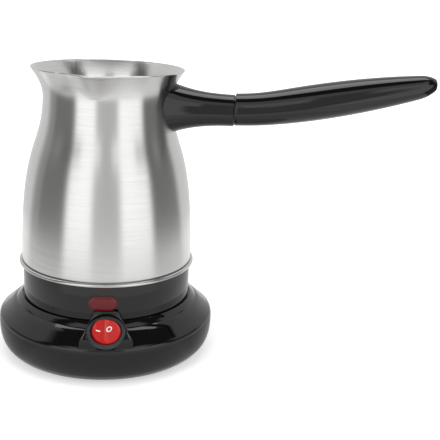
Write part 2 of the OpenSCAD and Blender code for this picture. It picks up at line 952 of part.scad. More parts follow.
module collar_base() {
    color(black)
        difference() {
            translate([0, 0, cover_z])
                cylinder(r = collar_r - collar_t - thread_play, h = cover_base_t);
            translate([0, 0, cover_z - over])
                cylinder(r = block_r + fit, h = far);
            for (a = stud_angles)
                rotate([0, 0, a])
                    translate([stud_at, 0, cover_z - over])
                        cylinder(r = screw_r + fit, h = far, $fn = 32);
        }
}

module collar_screws() {
    color(steel)
        for (a = stud_angles)
            rotate([0, 0, a])
                translate([stud_at, 0, cover_z - head_t])
                    pan_screw(screw_l);
}

module pot_connector() {
    color("#d9d4c6") {
        difference() {
            union() {
                translate([0, 0, cover_z])
                    cylinder(r = block_r, h = block_t);
                translate([0, 0, block_flange_z])
                    cylinder(r = block_flange_r, h = block_roof_z - block_flange_z);
            }
            cylinder(r = pin_r + touch, h = 2 * far, $fn = 48);
            tube(inner_r + ring_t + touch, inner_r - touch, 0, 2 * far);
            tube(outer_r + ring_t + touch, outer_r - touch, 0, outer_top_z + fit);
        }
        // The part of the block between the rings hangs on this roof
        difference() {
            translate([0, 0, block_roof_z])
                cylinder(r = block_flange_r, h = block_top_z - block_roof_z);
            cylinder(r = pin_r + touch, h = 2 * far, $fn = 48);
        }
    }
}

module earth_pin() {
    color(brass)
        rotate_extrude()
            polygon([[0, pin_tip_z], [pin_r - 1, pin_tip_z], [pin_r, pin_tip_z + 1], [pin_r, pin_top_z],
                     [0, pin_top_z]]);
}

module inner_ring() {
    color(brass)
        tube(inner_r + ring_t, inner_r, ring_tip_z, inner_top_z);
}

module outer_ring() {
    color(brass)
        tube(outer_r + ring_t, outer_r, ring_tip_z, outer_top_z);
}

module pot_wire_live() {
    color(brown)
        wire([[8.5, 0, block_top_z + 2 * fit], [8.6, 0.8, 48.8], [9.4, 3.6, 50.6], [12, 9.5, 50.9],
              [13.6, 17, 47.4], [13, 25, 43.9], [element_end[0], element_end[1], cold_pin_z - wire_r - gap]],
             wire_r);
}

module pot_wire_neutral() {
    color(blue)
        wire([[-13, 0, block_top_z + wire_r + fit], [-23, 2, 47.6], [-24, 17, 46], [-17.5, 27, 43.8],
              [-element_end[0], element_end[1], cold_pin_z - wire_r - gap]],
             wire_r, reference = [0.2, 0.1, 1]);
}

module pot_wire_earth() {
    color(green)
        wire([[0, 2.5, pin_top_z + wire_r + fit], [0.5, -4, pin_top_z + wire_r + fit], [3, -18, 50.4],
              [4, -25, 51.2], [4, -27, plate_z - 3 * gap]], wire_r);
}

// ---- handle ----

function grip_z(x) = handle_z
    + grip_slope * (sqrt((x - bend_x) ^ 2 + bend_w ^ 2) + x - bend_x) / 2;
function grip_swell(x) =
    (1 - cos(180 * min(x - seam_x, grip_thick_x - seam_x) / (grip_thick_x - seam_x))) / 2;
function grip_cap(x) = x < tip_x - cap_l ? 1 : sqrt(max(0, 1 - ((x - tip_x + cap_l) / cap_l) ^ 2));
function grip_half(x) = grip_cap(x) * (x < grip_thick_x
    ? grip_start_h + (grip_thick_h - grip_start_h) * grip_swell(x)
    : grip_thick_h - grip_thin * ((x - grip_thick_x) / grip_thin_l) ^ 2);
function grip_ring(x, sides) = [for (i = [0 : sides - 1]) let (a = 360 * i / sides)
    [x, grip_half(x) * (1 + grip_widening * grip_swell(x)) * cos(a), grip_z(x) + grip_half(x) * sin(a)]];

module grip_solid() {
    start_x = seam_x + seam_gap;
    body_x = [for (i = [0 : grip_stations]) start_x + (tip_x - cap_l - start_x) * i / grip_stations];
    cap_x = [for (i = [1 : cap_steps])
        tip_x - cap_l + cap_l * sin(90 * i / cap_steps) * (i < cap_steps ? 1 : 0.9995)];
    stations = concat(body_x, cap_x);
    points = [for (x = stations) each grip_ring(x, grip_sides)];
    polyhedron(points, tube_faces(len(stations) - 1, grip_sides));
}

module along_screw(from, length, r) {
    translate([screw_root[0], 0, screw_root[1]])
        rotate([0, 90 - screw_angle, 0])
            translate([0, 0, from])
                cylinder(r = r, h = length, $fn = 48);
}

// Everything inside the pot's outer surface near the handle
module pot_neck(play) {
    rotate_extrude()
        polygon(concat([[0, neck_z]], [for (p = pot_outline) if (p[1] > neck_z) [p[0] + play, p[1]]],
                       [[0, rim_z]]));
}

module handle_bracket() {
    color(steel)
        difference() {
            along_screw(-socket_back, socket_start + socket_back, bracket_r);
            pot_neck(wall_play);
            along_screw(-socket_back - over, far, handle_screw_r + thread_play);
        }
}

module handle_ferrule() {
    profile = curve([[ferrule_x, ferrule_root_r], ferrule_pull[0], ferrule_pull[1],
                     [seam_x, ferrule_end_r]], 14);
    color(black)
        difference() {
            translate([0, 0, handle_z])
                rotate([0, 90, 0])
                    rotate_extrude()
                        polygon(concat([[0, ferrule_x]], [for (p = profile) [p[1], p[0]]],
                                       [[spigot_r, seam_x], [spigot_r, seam_x + seam_gap - fit],
                                        [0, seam_x + seam_gap - fit]]));
            pot_neck(wall_play + touch);
            along_screw(-socket_start, 2 * socket_start + 2 * fit, bracket_r + fit);
            along_screw(0, long, handle_screw_r + fit);
        }
}

module handle_grip() {
    color(black)
        difference() {
            grip_solid();
            along_screw(0, long, handle_screw_r + fit);
            along_screw(handle_screw_l, long, handle_head_r + 2 * fit);
        }
}

module handle_screw() {
    color(steel) {
        along_screw(over, handle_screw_l - over, handle_screw_r);
        along_screw(handle_screw_l, handle_head_t, handle_head_r);
    }
}

base_cover();
base_bottom();
rubber_feet();
base_screws();
cord_gland();
cord_clamp();
clamp_screws();
base_wire_live();
base_wire_neutral();
base_wire_earth();
base_wire_switched();
base_connector();
contact_earth();
contact_inner();
contact_outer();
shutter_spring();
connector_shutter();
switch_body();
switch_terminal_common();
switch_terminal_load();
rocker();
rocker_plunger();
rocker_spring();
contact_blade();
pot_shell();
floor_plate();
bottom_ring();
seal_ring();
heat_plate();
heating_element();
heater_studs();
thermostat();
thermostat_bracket();
thermal_fuse();
pot_collar();
collar_base();
collar_screws();
pot_connector();
earth_pin();
inner_ring();
outer_ring();
indicator_lens();
neon_lamp();
lamp_resistor();
lamp_leads();
pot_wire_live();
pot_wire_neutral();
pot_wire_earth();
handle_bracket();
handle_ferrule();
handle_grip();
handle_screw();
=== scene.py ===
import json
from math import atan, cos, exp, hypot, pi, radians, sin, sqrt, tan

import bmesh
import bpy
from mathutils import Matrix, Vector

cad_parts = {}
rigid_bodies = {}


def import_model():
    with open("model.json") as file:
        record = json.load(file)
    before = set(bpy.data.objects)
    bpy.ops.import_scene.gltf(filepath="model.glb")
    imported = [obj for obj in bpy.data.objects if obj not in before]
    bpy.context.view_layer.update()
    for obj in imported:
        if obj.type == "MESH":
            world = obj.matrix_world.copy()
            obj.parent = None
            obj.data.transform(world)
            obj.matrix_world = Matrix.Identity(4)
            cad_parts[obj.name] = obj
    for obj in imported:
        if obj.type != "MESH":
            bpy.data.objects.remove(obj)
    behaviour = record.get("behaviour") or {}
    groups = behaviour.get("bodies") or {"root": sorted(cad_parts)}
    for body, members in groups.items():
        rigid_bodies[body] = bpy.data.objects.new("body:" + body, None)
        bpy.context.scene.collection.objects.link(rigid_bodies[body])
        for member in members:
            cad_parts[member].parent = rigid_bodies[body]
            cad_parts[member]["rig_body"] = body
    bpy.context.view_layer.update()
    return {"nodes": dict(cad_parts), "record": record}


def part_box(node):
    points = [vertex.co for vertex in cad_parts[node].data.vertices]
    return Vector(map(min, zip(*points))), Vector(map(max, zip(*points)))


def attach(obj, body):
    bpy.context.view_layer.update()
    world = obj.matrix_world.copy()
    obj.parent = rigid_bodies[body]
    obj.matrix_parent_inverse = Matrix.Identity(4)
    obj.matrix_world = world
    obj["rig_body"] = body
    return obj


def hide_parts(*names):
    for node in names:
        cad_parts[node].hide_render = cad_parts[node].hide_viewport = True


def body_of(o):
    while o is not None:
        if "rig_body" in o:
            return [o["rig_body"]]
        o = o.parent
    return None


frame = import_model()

# ---------------------------------------------------------- sizes in millimetres, as in the part's source
MM = 0.001
FIT = 0.1               # play between pieces of one body
# The pot's wall, its spout and the ring under it
BELLY_R, SHELL_Z = 52.45, 59.3
WAIST_R, WAIST_Z = 38.5, 159.0
MOUTH_R, RIM_Z = 45.8, 176.4
WALL = 0.8
SPOUT_OUT, SPOUT_AT, SPOUT_H = 2.1, 25.5, 14.0
RING_Z, RING_INNER_R, BEAD_R, FLOOR_Z = 56.9, 49.45, 1.3, 58.2
# The heater collar and its lens
COLLAR_R, COLLAR_T, COLLAR_Z = 51.75, 2.0, 35.6
LENS_W, LENS_H, LENS_Z, LENS_TURN = 16.6, 9.0, 46.6, 7.2
# The base: its cover, and the openings for the connector and for the bottom plate
BASE_TURN = 9.5
BASE_R, CREST_R, CREST_Z, SKIRT_R, SKIRT_Z = 67.0, 66.4, 24.5, 59.5, 2.1
SEAT_R, SEAT_Z, SEAT_RIM_Z, RIM_T, COVER_T = 52.3, 35.4, 36.1, 0.5, 2.0
SOCKET_OPENING_R, BOTTOM_OPENING_R, BOTTOM_LIP_Z = 17.2, 57.0, 4.7
FOOT_R, FOOT_H, FOOT_AT = 5.0, 3.0, 50.5
# The gland at the cord's inlet
INLET_AT, INLET_Z, CORD_R = 65.9, 12.5, 3.3
GLAND_R, GLAND_H, GLAND_NECK_R, GLAND_L = 7.0, 3.0, 5.0, 7.0
GLAND_LIP, GLAND_LIP_L, GLAND_WALL = 1.5, 2.0, 3.5
# The switch and its pod
FLANGE_R, FLANGE_T, BARREL_R, BARREL_H = 11.1, 1.7, 9.4, 14.0
HOOD_H, POD_DEPTH, POD_LEDGE = 2.2, 16.0, 1.2
NOSE_AT, NOSE_Z, NOSE_TILT = 62.4, 34.2, 32.0
ROCKER_R, ROCKER_SWING, PIVOT_Z = 8.35, 11.0, -1.2
# The handle: ferrule, grip and the long screw
HANDLE_Z, SEAM_X, TIP_X = 154.3, 75.8, 195.0
FERRULE_X, FERRULE_ROOT_R, FERRULE_END_R = 34.0, 17.0, 9.4
SEAM_GAP, SPIGOT_R = 0.5, 8.6
GRIP_START_H, GRIP_THICK_H, GRIP_THICK_X = 9.6, 10.8, 124.0
GRIP_SLOPE, BEND_X, BEND_W = 0.197, 88.0, 14.0
GRIP_WIDENING, GRIP_THIN, GRIP_THIN_L, CAP_L = 0.12, 4.2, 63.0, 11.0
SCREW_ROOT, SCREW_SLOPE, SCREW_L = (42.0, 153.2), 0.145, 143.0
# The small screws, and where those of the base, the clamp and the collar stand
SCREW_R, SCREW_PITCH, HEAD_R, HEAD_T = 1.5, 0.9, 2.9, 1.6
SCREW_AT, SCREW_SIDE, CLAMP_X, CLAMP_Y, STUD_AT = 46.0, 20.0, 7.0, 49.0, 40.9
# The springs of the shutter and of the rocker's plunger
SPRING_R, SPRING_WIRE_R, COIL_R, COIL_WIRE_R = 3.6, 0.35, 0.8, 0.25

CAMERA_SIDE = 10.0      # degrees from -Y towards +X that the main view is taken from


# ---------------------------------------------------------------- curves and outlines
def bezier(points, t):
    a, b, c, d = (Vector(p) for p in points)
    return (1 - t) ** 3 * a + 3 * (1 - t) ** 2 * t * b + 3 * (1 - t) * t ** 2 * c + t ** 3 * d


def curve(points, count):
    return [tuple(bezier(points, i / count)) for i in range(count + 1)]


def steps(low, high, count):
    """Even steps after the low end, up to the high end."""
    return [low + (high - low) * k / count for k in range(1, count + 1)]


def around_z(radius, z, count):
    """A level ring of points round Z."""
    return [(radius * cos(2 * pi * k / count), radius * sin(2 * pi * k / count), z) for k in range(count)]


def between(table, x):
    """Straight-line reading of a sorted list of pairs."""
    if x <= table[0][0]:
        return table[0][1]
    for (x0, y0), (x1, y1) in zip(table, table[1:]):
        if x <= x1:
            return y0 + (y1 - y0) * (x - x0) / (x1 - x0)
    return table[-1][1]


def last_below(test, low, high):
    """The highest value that still passes a test, found by halving."""
    for _ in range(30):
        middle = (low + high) / 2
        if test(middle):
            low = middle
        else:
            high = middle
    return low


def rounded(outline, radii, cuts=5):
    """A closed outline whose corners are turned into arcs of the given radii, as far as its sides allow."""
    result = []
    for i, corner in enumerate(outline):
        radius = radii[i]
        corner = Vector(corner)
        back = Vector(outline[i - 1]) - corner
        ahead = Vector(outline[(i + 1) % len(outline)]) - corner
        angle = back.angle(ahead)
        if radius == 0 or angle > radians(176):
            result.append(tuple(corner))
            continue
        reach = min(radius / tan(angle / 2), 0.48 * back.length, 0.48 * ahead.length)
        radius = reach * tan(angle / 2)
        centre = corner + (back.normalized() + ahead.normalized()).normalized() * radius / sin(angle / 2)
        first = corner + back.normalized() * reach - centre
        last = corner + ahead.normalized() * reach - centre
        sweep = first.angle(last)
        for k in range(cuts + 1):
            t = k / cuts
            arm = (first * sin((1 - t) * sweep) + last * sin(t * sweep)) / sin(sweep)
            result.append(tuple(centre + arm))
    return result


def smooth_step(x, low, high):
    t = min(max((x - low) / (high - low), 0), 1)
    return t * t * (3 - 2 * t)


# ---------------------------------------------------------------- meshes
def grid_faces(rows, columns, close_rows=False, close_columns=True):
    """Quads of a grid whose points run row by row."""
    return [(i * columns + j, i * columns + (j + 1) % columns,
             (i + 1) % rows * columns + (j + 1) % columns, (i + 1) % rows * columns + j)
            for i in range(rows if close_rows else rows - 1)
            for j in range(columns if close_columns else columns - 1)]


def turned(profile, around=160):
    """A solid turned from (radius, height) pairs: a closed outline, or a line from the axis to the axis."""
    points = [point for r, z in profile for point in around_z(r, z, around)]
    return points, grid_faces(len(profile), around, close_rows=profile[0][0] > 0)


def rod(radius, low, high, around=96):
    """A plain closed cylinder, to cut with."""
    ends = around_z(radius, low, around) + around_z(radius, high, around)
    return ends, grid_faces(2, around) + [tuple(range(around)), tuple(reversed(range(around, 2 * around)))]


def joined(*shapes):
    points, faces = [], []
    for more_points, more_faces in shapes:
        faces += [tuple(i + len(points) for i in face) for face in more_faces]
        points += list(more_points)
    return points, faces


def solid(name, shape, place=None):
    """A mesh object in metres with merged points and outward faces."""
    points, faces = shape
    if place:
        points = [place @ Vector(p) for p in points]
    mesh = bpy.data.meshes.new(name)
    mesh.from_pydata([tuple(c * MM for c in p) for p in points], [], faces)
    shell = bmesh.new()
    shell.from_mesh(mesh)
    bmesh.ops.remove_doubles(shell, verts=shell.verts, dist=1e-7)
    bmesh.ops.dissolve_degenerate(shell, edges=shell.edges, dist=1e-8)
    bmesh.ops.recalc_face_normals(shell, faces=shell.faces)
    shell.to_mesh(mesh)
    shell.free()
    thing = bpy.data.objects.new(name, mesh)
    bpy.context.scene.collection.objects.link(thing)
    return thing


def frozen(thing):
    """Gives an object the plain mesh that its modifiers make, and drops them."""
    shape = bpy.data.meshes.new_from_object(thing.evaluated_get(bpy.context.evaluated_depsgraph_get()))
    thing.modifiers.clear()
    thing.data = shape


def cut(target, tool, how="DIFFERENCE"):
    """Cuts, joins or crosses two mesh objects, and drops the second one."""
    step = target.modifiers.new("cut", "BOOLEAN")
    step.operation, step.object, step.solver = how, tool, "EXACT"
    frozen(target)
    bpy.data.objects.remove(tool)
    return target


def finished(thing, material, body, stands_for=(), smooth=32):
    """Gives a piece its finish, its shading and the body that carries it."""
    thing.data.materials.clear()
    thing.data.materials.append(material)
    thing.data.shade_smooth()
    thing.data.set_sharp_from_angle(angle=radians(smooth))
    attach(thing, body)
    if stands_for:
        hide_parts(*stands_for)
    return thing


# ---------------------------------------------------------------- where things stand
def shift(x, y, z):
    return Matrix.Translation((x, y, z))


def turn(angle, axis):
    return Matrix.Rotation(radians(angle), 4, axis)


UPRIGHT, FLIPPED = Matrix.Identity(4), Matrix.Rotation(pi, 4, "X")
ON_BASE = turn(BASE_TURN, "Z")
ON_NOSE = ON_BASE @ shift(0, -NOSE_AT, NOSE_Z) @ turn(NOSE_TILT, "X")
ON_ROCKER = ON_NOSE @ shift(0, 0, PIVOT_Z) @ turn(ROCKER_SWING, "Y")
ON_INLET = ON_BASE @ shift(0, INLET_AT, INLET_Z) @ turn(90, "X")
ON_SCREW = shift(SCREW_ROOT[0], 0, SCREW_ROOT[1]) @ Matrix.Rotation(pi / 2 - atan(SCREW_SLOPE), 4, "Y")


# ---------------------------------------------------------------- materials
def linear(code):
    """An sRGB hex colour in linear light."""
    parts = [int(code[i:i + 2], 16) / 255 for i in (1, 3, 5)]
    return tuple(c / 12.92 if c <= 0.04045 else ((c + 0.055) / 1.055) ** 2.4 for c in parts) + (1.0,)


def add(tree, kind, inputs=None, **settings):
    """Adds a node; an input is given a value, or the socket that feeds it."""
    node = tree.nodes.new(kind)
    for key, value in settings.items():
        setattr(node, key, value)
    for key, value in (inputs or {}).items():
        if isinstance(value, bpy.types.NodeSocket):
            tree.links.new(value, node.inputs[key])
        else:
            node.inputs[key].default_value = value
    return node


def empty_material(name):
    material = bpy.data.materials.new(name)
    material.use_nodes = True
    material.node_tree.nodes.clear()
    return material, material.node_tree


def surface(name, base, deep, grain, stretch=(1, 1, 1), rough=(0.2, 0.3), bump=0.0, **shader):
    """A finish whose colour runs from base to deep and whose roughness varies over one pattern.

    grain is the pattern's size in millimetres, and stretch lengthens it along X, Y or Z. bump is the height
    of the pattern in millimetres.
    """
    material, tree = empty_material(name)
    place = add(tree, "ShaderNodeTexCoord").outputs["Object"]
    scale = tuple(1 / (grain * MM * s) for s in stretch)
    mapped = add(tree, "ShaderNodeMapping", {"Vector": place, "Scale": scale})
    pattern = add(tree, "ShaderNodeTexNoise", {"Vector": mapped.outputs[0], "Scale": 1.0, "Detail": 3.0})
    tone = add(tree, "ShaderNodeMix", {0: pattern.outputs["Fac"], 6: linear(base), 7: linear(deep)},
               data_type="RGBA")
    gloss = add(tree, "ShaderNodeMapRange", {
        "Value": pattern.outputs["Fac"], "From Min": 0.3, "From Max": 0.7,
        "To Min": rough[0], "To Max": rough[1]})
    inputs = {"Base Color": tone.outputs[2], "Roughness": gloss.outputs[0]}
    if bump:
        lift = add(tree, "ShaderNodeBump", {
            "Height": pattern.outputs["Fac"], "Distance": bump * MM, "Strength": 1.0})
        inputs["Normal"] = lift.outputs[0]
    for key, value in shader.items():
        inputs[key.replace("_", " ").title().replace("Ior", "IOR")] = value
    skin = add(tree, "ShaderNodeBsdfPrincipled", inputs)
    add(tree, "ShaderNodeOutputMaterial", {"Surface": skin.outputs[0]})
    return material


# Stainless steel, brushed while the pot turned: fine lines round the pot, and reflections drawn out upwards.
# Real brush lines are 0.1 mm apart; they are drawn 0.7 mm apart, so that they show.
brushed_stainless = surface("stainless_steel_brushed", "#d6d6d4", "#cececc", 0.7, (40, 40, 1), (0.22, 0.27),
                            metallic=1.0, anisotropic=0.75, anisotropic_rotation=0.25)
steel_tree = brushed_stainless.node_tree
steel_skin = next(n for n in steel_tree.nodes if n.type == "BSDF_PRINCIPLED")
brush_way = add(steel_tree, "ShaderNodeTangent", direction_type="RADIAL", axis="Z")
steel_tree.links.new(brush_way.outputs[0], steel_skin.inputs["Tangent"])
# Stainless steel, rolled and polished: a narrow bright line with slight rolling marks.
polished_stainless = surface("stainless_steel_polished", "#d4d4d2", "#bdbdbb", 1.2, (16, 16, 1), (0.16, 0.24),
                             metallic=1.0)
# Steel, zinc plated and barrel tumbled: a soft grey metal with cloudy patches.
zinc_steel = surface("steel_zinc_plated", "#b9bcc0", "#9a9ea4", 2.5, rough=(0.28, 0.45), metallic=1.0)
# ABS, injection moulded in a polished mould: a deep black skin, mirror-like, with a barely wavy surface.
gloss_abs = surface("abs_gloss_moulded", "#060607", "#0a0a0b", 9.0, rough=(0.04, 0.08), bump=0.006, ior=1.5)
# ABS, injection moulded in a spark-eroded mould: an even, satin black with a fine grain.
satin_abs = surface("abs_satin_moulded", "#1d1f20", "#26292a", 0.8, rough=(0.42, 0.55), bump=0.02, ior=1.5)
# Polyamide, injection moulded with a fine matt texture: the dark grey of a switch housing.
polyamide = surface("polyamide_matt_moulded", "#1b1e1f", "#242728", 0.6, rough=(0.32, 0.44), bump=0.01,
                    ior=1.53)
# Polycarbonate, injection moulded and tinted through: a bright red that glows a little inside its gloss.
tinted_red = surface("polycarbonate_red_moulded", "#a8100d", "#b81f18", 4.0, rough=(0.12, 0.2), ior=1.58,
                     specular_ior_level=0.3, subsurface_weight=0.25, subsurface_scale=0.002)
# Polycarbonate, injection moulded and tinted dark: deep red, clear enough to be lighter where it is thin.
lens_red = surface("polycarbonate_dark_red_moulded", "#5c0c0e", "#701a1e", 2.2, rough=(0.1, 0.18), ior=1.58,
                   specular_ior_level=0.25, transmission_weight=0.2)
# Pad-printed ink: an opaque, slightly matt white.
printed_white = surface("ink_white_printed", "#f4f1ee", "#e6e2de", 0.8, rough=(0.35, 0.5))
# Natural rubber, compression moulded: matt black, with a bloom that greys it in patches.
rubber = surface("rubber_black_moulded", "#1c1c1c", "#2b2b2b", 3.0, rough=(0.65, 0.85), bump=0.03, ior=1.52)
# Silicone rubber, moulded: milky, soft sheen.
silicone = surface("silicone_moulded", "#b9b4a8", "#c9c5ba", 4.0, rough=(0.45, 0.6), ior=1.41)
# Steatite, pressed and fired: warm white, dry and slightly speckled.
steatite = surface("steatite_fired", "#dcd5c6", "#c8c0b0", 0.9, rough=(0.6, 0.8), bump=0.02, ior=1.58)
# Brass, stamped from rolled strip: yellow metal with rolling marks.
brass = surface("brass_rolled", "#d0a75a", "#b78f45", 0.8, (1, 12, 1), (0.22, 0.36), metallic=1.0)
# Aluminium, pressure die cast and turned flat: pale grey with a cloudy cast skin.
cast_aluminium = surface("aluminium_die_cast", "#b6b8ba", "#9c9fa2", 1.6, rough=(0.4, 0.6), bump=0.03,
                         metallic=1.0)
# Steel tube, annealed: grey with a blue-brown heat tint that comes and goes.
annealed_steel = surface("steel_annealed", "#7c7a78", "#5c5450", 6.0, rough=(0.4, 0.6), metallic=1.0)
# Soda-lime glass, blown: clear, tinted with the orange glow of the lit neon gas behind it, a painted glow.
lamp_glass = surface("glass_blown_painted_glow", "#f3d0b4", "#f0c49c", 2.0, rough=(0.02, 0.06), ior=1.5,
                     transmission_weight=0.7)
# Lacquer on a ceramic resistor, dipped: tan, with a dull gloss.
lacquer = surface("lacquer_dipped", "#c2a878", "#ad935f", 1.5, rough=(0.3, 0.45))
# PVC, extruded round the copper: smooth, soft gloss.
pvc_brown = surface("pvc_brown_extruded", "#6f4225", "#5c341b", 3.0, rough=(0.35, 0.45))
pvc_blue = surface("pvc_blue_extruded", "#2b5aa6", "#234c8f", 3.0, rough=(0.35, 0.45))
pvc_green = surface("pvc_green_yellow_extruded", "#4d9a35", "#d8cf3a", 5.0, rough=(0.35, 0.45))

carried_over = {
    "brushed_steel": brushed_stainless, "plain_steel": zinc_steel, "gloss_black": gloss_abs,
    "satin_black": satin_abs, "switch_grey": polyamide, "red_rocker": tinted_red, "red_lens": lens_red,
    "rubber": rubber, "silicone": silicone, "ceramic": steatite, "brass": brass, "aluminium": cast_aluminium,
    "heater_sheath": annealed_steel, "lamp_glass": lamp_glass, "resistor_body": lacquer,
    "wire_brown": pvc_brown, "wire_blue": pvc_blue, "wire_green": pvc_green}
for subpart in frame["record"]["subparts"]:
    slots = frame["nodes"][subpart["node"]].data.materials
    slots.clear()
    slots.append(carried_over[subpart["material_slot"]])

# ---------------------------------------------------------------- the pot
BELLY = curve([(BELLY_R, SHELL_Z), (BELLY_R - 0.85, 136.2), (WAIST_R + 1, 126.2), (WAIST_R, WAIST_Z)], 160)
FLARE = curve([(WAIST_R, WAIST_Z), (WAIST_R, 166), (MOUTH_R - 3.6, 171.4), (MOUTH_R, RIM_Z)], 60)
OUTLINE = [(z, r) for r, z in BELLY + FLARE[1:]]
SPOUT_BLEND = 0.8       # width of the soft corner between the wall and the spout
FLARE_PULLS = ((-25, 2.6), (25, 1.2))   # degrees from the spout's middle, how far the flare is drawn in there
PULL_WIDTH = 9          # degrees
LIP_DIP = 0.5           # how far the lip dips in the middle of the spout
EDGE_HEIGHTS, EDGE_TUCKS = (0, 0.25, 0.6, 1.2), (0.5, 0.22, 0.04, 0)     # the lower edge, rolled inwards


def pot_radius(z):
    return between(OUTLINE, z)


def spout_radius(angle, z):
    """Distance of the pressed spout from the pot's axis, in a direction turned from the spout's middle."""
    rise = min(max((z - RIM_Z + SPOUT_H) / SPOUT_H, 0), 1)
    radius = pot_radius(z) + SPOUT_OUT * (1 - (1 - rise) ** 2) - SPOUT_AT
    under = radius ** 2 - (SPOUT_AT * sin(angle)) ** 2
    return SPOUT_AT * cos(angle) + sqrt(under) if rise > 0 and under > 0 else 0


def pot_wall():
    """The pot's wall: turned outline, pressed spout, rounded rim and an inside that follows the outside."""
    spout_side = 36     # degrees to each side of the spout's middle where the columns are narrow
    sides = [-spout_side] + steps(-spout_side, spout_side, 144)
    sides += steps(spout_side, 360 - spout_side, 144)[:-1]
    heights = [SHELL_Z + rise for rise in EDGE_HEIGHTS]
    heights += steps(heights[-1], WAIST_Z - 4, 48) + steps(WAIST_Z - 4, RIM_Z - WALL / 2, 40)
    top = len(heights) - 1
    tucks = list(EDGE_TUCKS) + [0] * (top + 1 - len(EDGE_TUCKS))

    def outside(side, z):
        side = (side + 180) % 360 - 180
        pull = sum(depth * exp(-((side - middle) / PULL_WIDTH) ** 2) for middle, depth in FLARE_PULLS)
        radius = pot_radius(z) - pull * smooth_step(z, RIM_Z - 12, RIM_Z + 3)
        pressed = spout_radius(radians(side), z)
        overlap = max(SPOUT_BLEND - abs(radius - pressed), 0)
        return max(radius, pressed) + overlap ** 2 / (4 * SPOUT_BLEND)

    outer = [[outside(side, z) for side in sides] for z in heights]

    def inside(i, j):
        """A wall's thickness behind the outside, square to its slope."""
        above, below = min(max(i, 4) + 1, top), max(i, 4) - 1
        slope = (outer[above][j] - outer[below][j]) / (heights[above] - heights[below])
        return outer[i][j] - WALL * (1 if i == top else sqrt(1 + slope ** 2))

    rows = [[(r - tuck, z) for r in row] for row, tuck, z in zip(outer, tucks, heights)]
    for k in range(1, 6):
        swing = pi * k / 6
        inwards, upwards = WALL / 2 * (1 - cos(swing)), WALL / 2 * sin(swing)
        rows.append([(r - inwards, heights[top] + upwards) for r in outer[top]])
    for i in range(top, -1, -1):
        rows.append([(inside(i, j), heights[i]) for j in range(len(sides))])
    points = []
    for row in rows:
        for (r, z), side in zip(row, sides):
            dip = LIP_DIP * smooth_step(z, RIM_Z - 6, RIM_Z) * smooth_step(r, MOUTH_R - 0.5, MOUTH_R + 2.2)
            points.append((r * sin(radians(side)), -r * cos(radians(side)), z - dip))
    return points, grid_faces(len(rows), len(sides), close_rows=True)


finished(solid("pot_wall", pot_wall()), brushed_stainless, "pot", ["pot_shell"], 60)

bead_r, bead_z = BELLY_R + 0.3, RING_Z + BEAD_R - 0.2
bead = [(bead_r + BEAD_R * cos(radians(a)), bead_z + BEAD_R * sin(radians(a))) for a in range(-105, 136, 10)]
ring = [(RING_INNER_R, RING_Z)] + bead + [(BELLY_R - 0.95, FLOOR_Z), (RING_INNER_R, FLOOR_Z)]
finished(solid("seam_bead", turned(ring)), polished_stainless, "pot", ["bottom_ring"])


# ---------------------------------------------------------------- the heater collar and its lens
def stadium(width, height, count=16):
    """Outline of a slot with round ends, anticlockwise from its lower right."""
    radius, reach = height / 2, (width - height) / 2
    angles = [pi * (k / count - 0.5) for k in range(count + 1)]
    half = [(reach + radius * cos(a), radius * sin(a)) for a in angles]
    half += [(reach - 2 * reach * k / 8, radius) for k in range(1, 8)]
    return half + [(-x, -y) for x, y in half]


def round_front(outline, layers):
    """A plug that follows the collar: each layer is (inset of the outline, radius), from back to front."""
    reach = max(x for x, y in outline) - LENS_H / 2
    points = []
    for inset, radius in layers:
        for x, y in outline:
            middle = Vector((max(-reach, min(x, reach)), 0))
            arm = Vector((x, y)) - middle
            drawn_in = middle + arm * (1 - inset / max(arm.length, inset))
            angle = drawn_in.x / COLLAR_R - pi / 2 + radians(LENS_TURN)
            points.append((radius * cos(angle), radius * sin(angle), LENS_Z + drawn_in.y))
    count = len(outline)
    faces = grid_faces(len(layers), count)
    faces.append(tuple(range(count)))
    faces.append(tuple(reversed(range((len(layers) - 1) * count, len(layers) * count))))
    return points, faces


tube = rounded([(COLLAR_R - COLLAR_T, COLLAR_Z), (COLLAR_R, COLLAR_Z), (COLLAR_R, RING_Z),
                (COLLAR_R - COLLAR_T, RING_Z)], [0.4, 0.7, 0.1, 0.1])
window = round_front(stadium(LENS_W - 2, LENS_H - 2), [(0, COLLAR_R - 5), (0, COLLAR_R + 3)])
finished(cut(solid("collar", turned(tube)), solid("window", window)), gloss_abs, "pot", ["pot_collar"])

LENS_MIDDLE, LENS_NECK = 4.49, 1.3      # how far in from the edge its middle and the side of its neck lie
LENS_DOME = ((0.0, 0.03), (0.05, 0.35), (0.3, 0.55), (1.0, 0.74), (2.0, 0.85), (3.2, 0.89),
             (LENS_MIDDLE, 0.9))        # (in from the edge, out from the collar)
lens_back = COLLAR_R - COLLAR_T - 0.8
lens_layers = [(LENS_MIDDLE, lens_back), (LENS_NECK, lens_back), (LENS_NECK, COLLAR_R + 0.02)]
lens_layers += [(inset, COLLAR_R + out) for inset, out in LENS_DOME]
finished(solid("lens", round_front(stadium(LENS_W, LENS_H), lens_layers)), lens_red, "pot",
         ["indicator_lens"], 20)

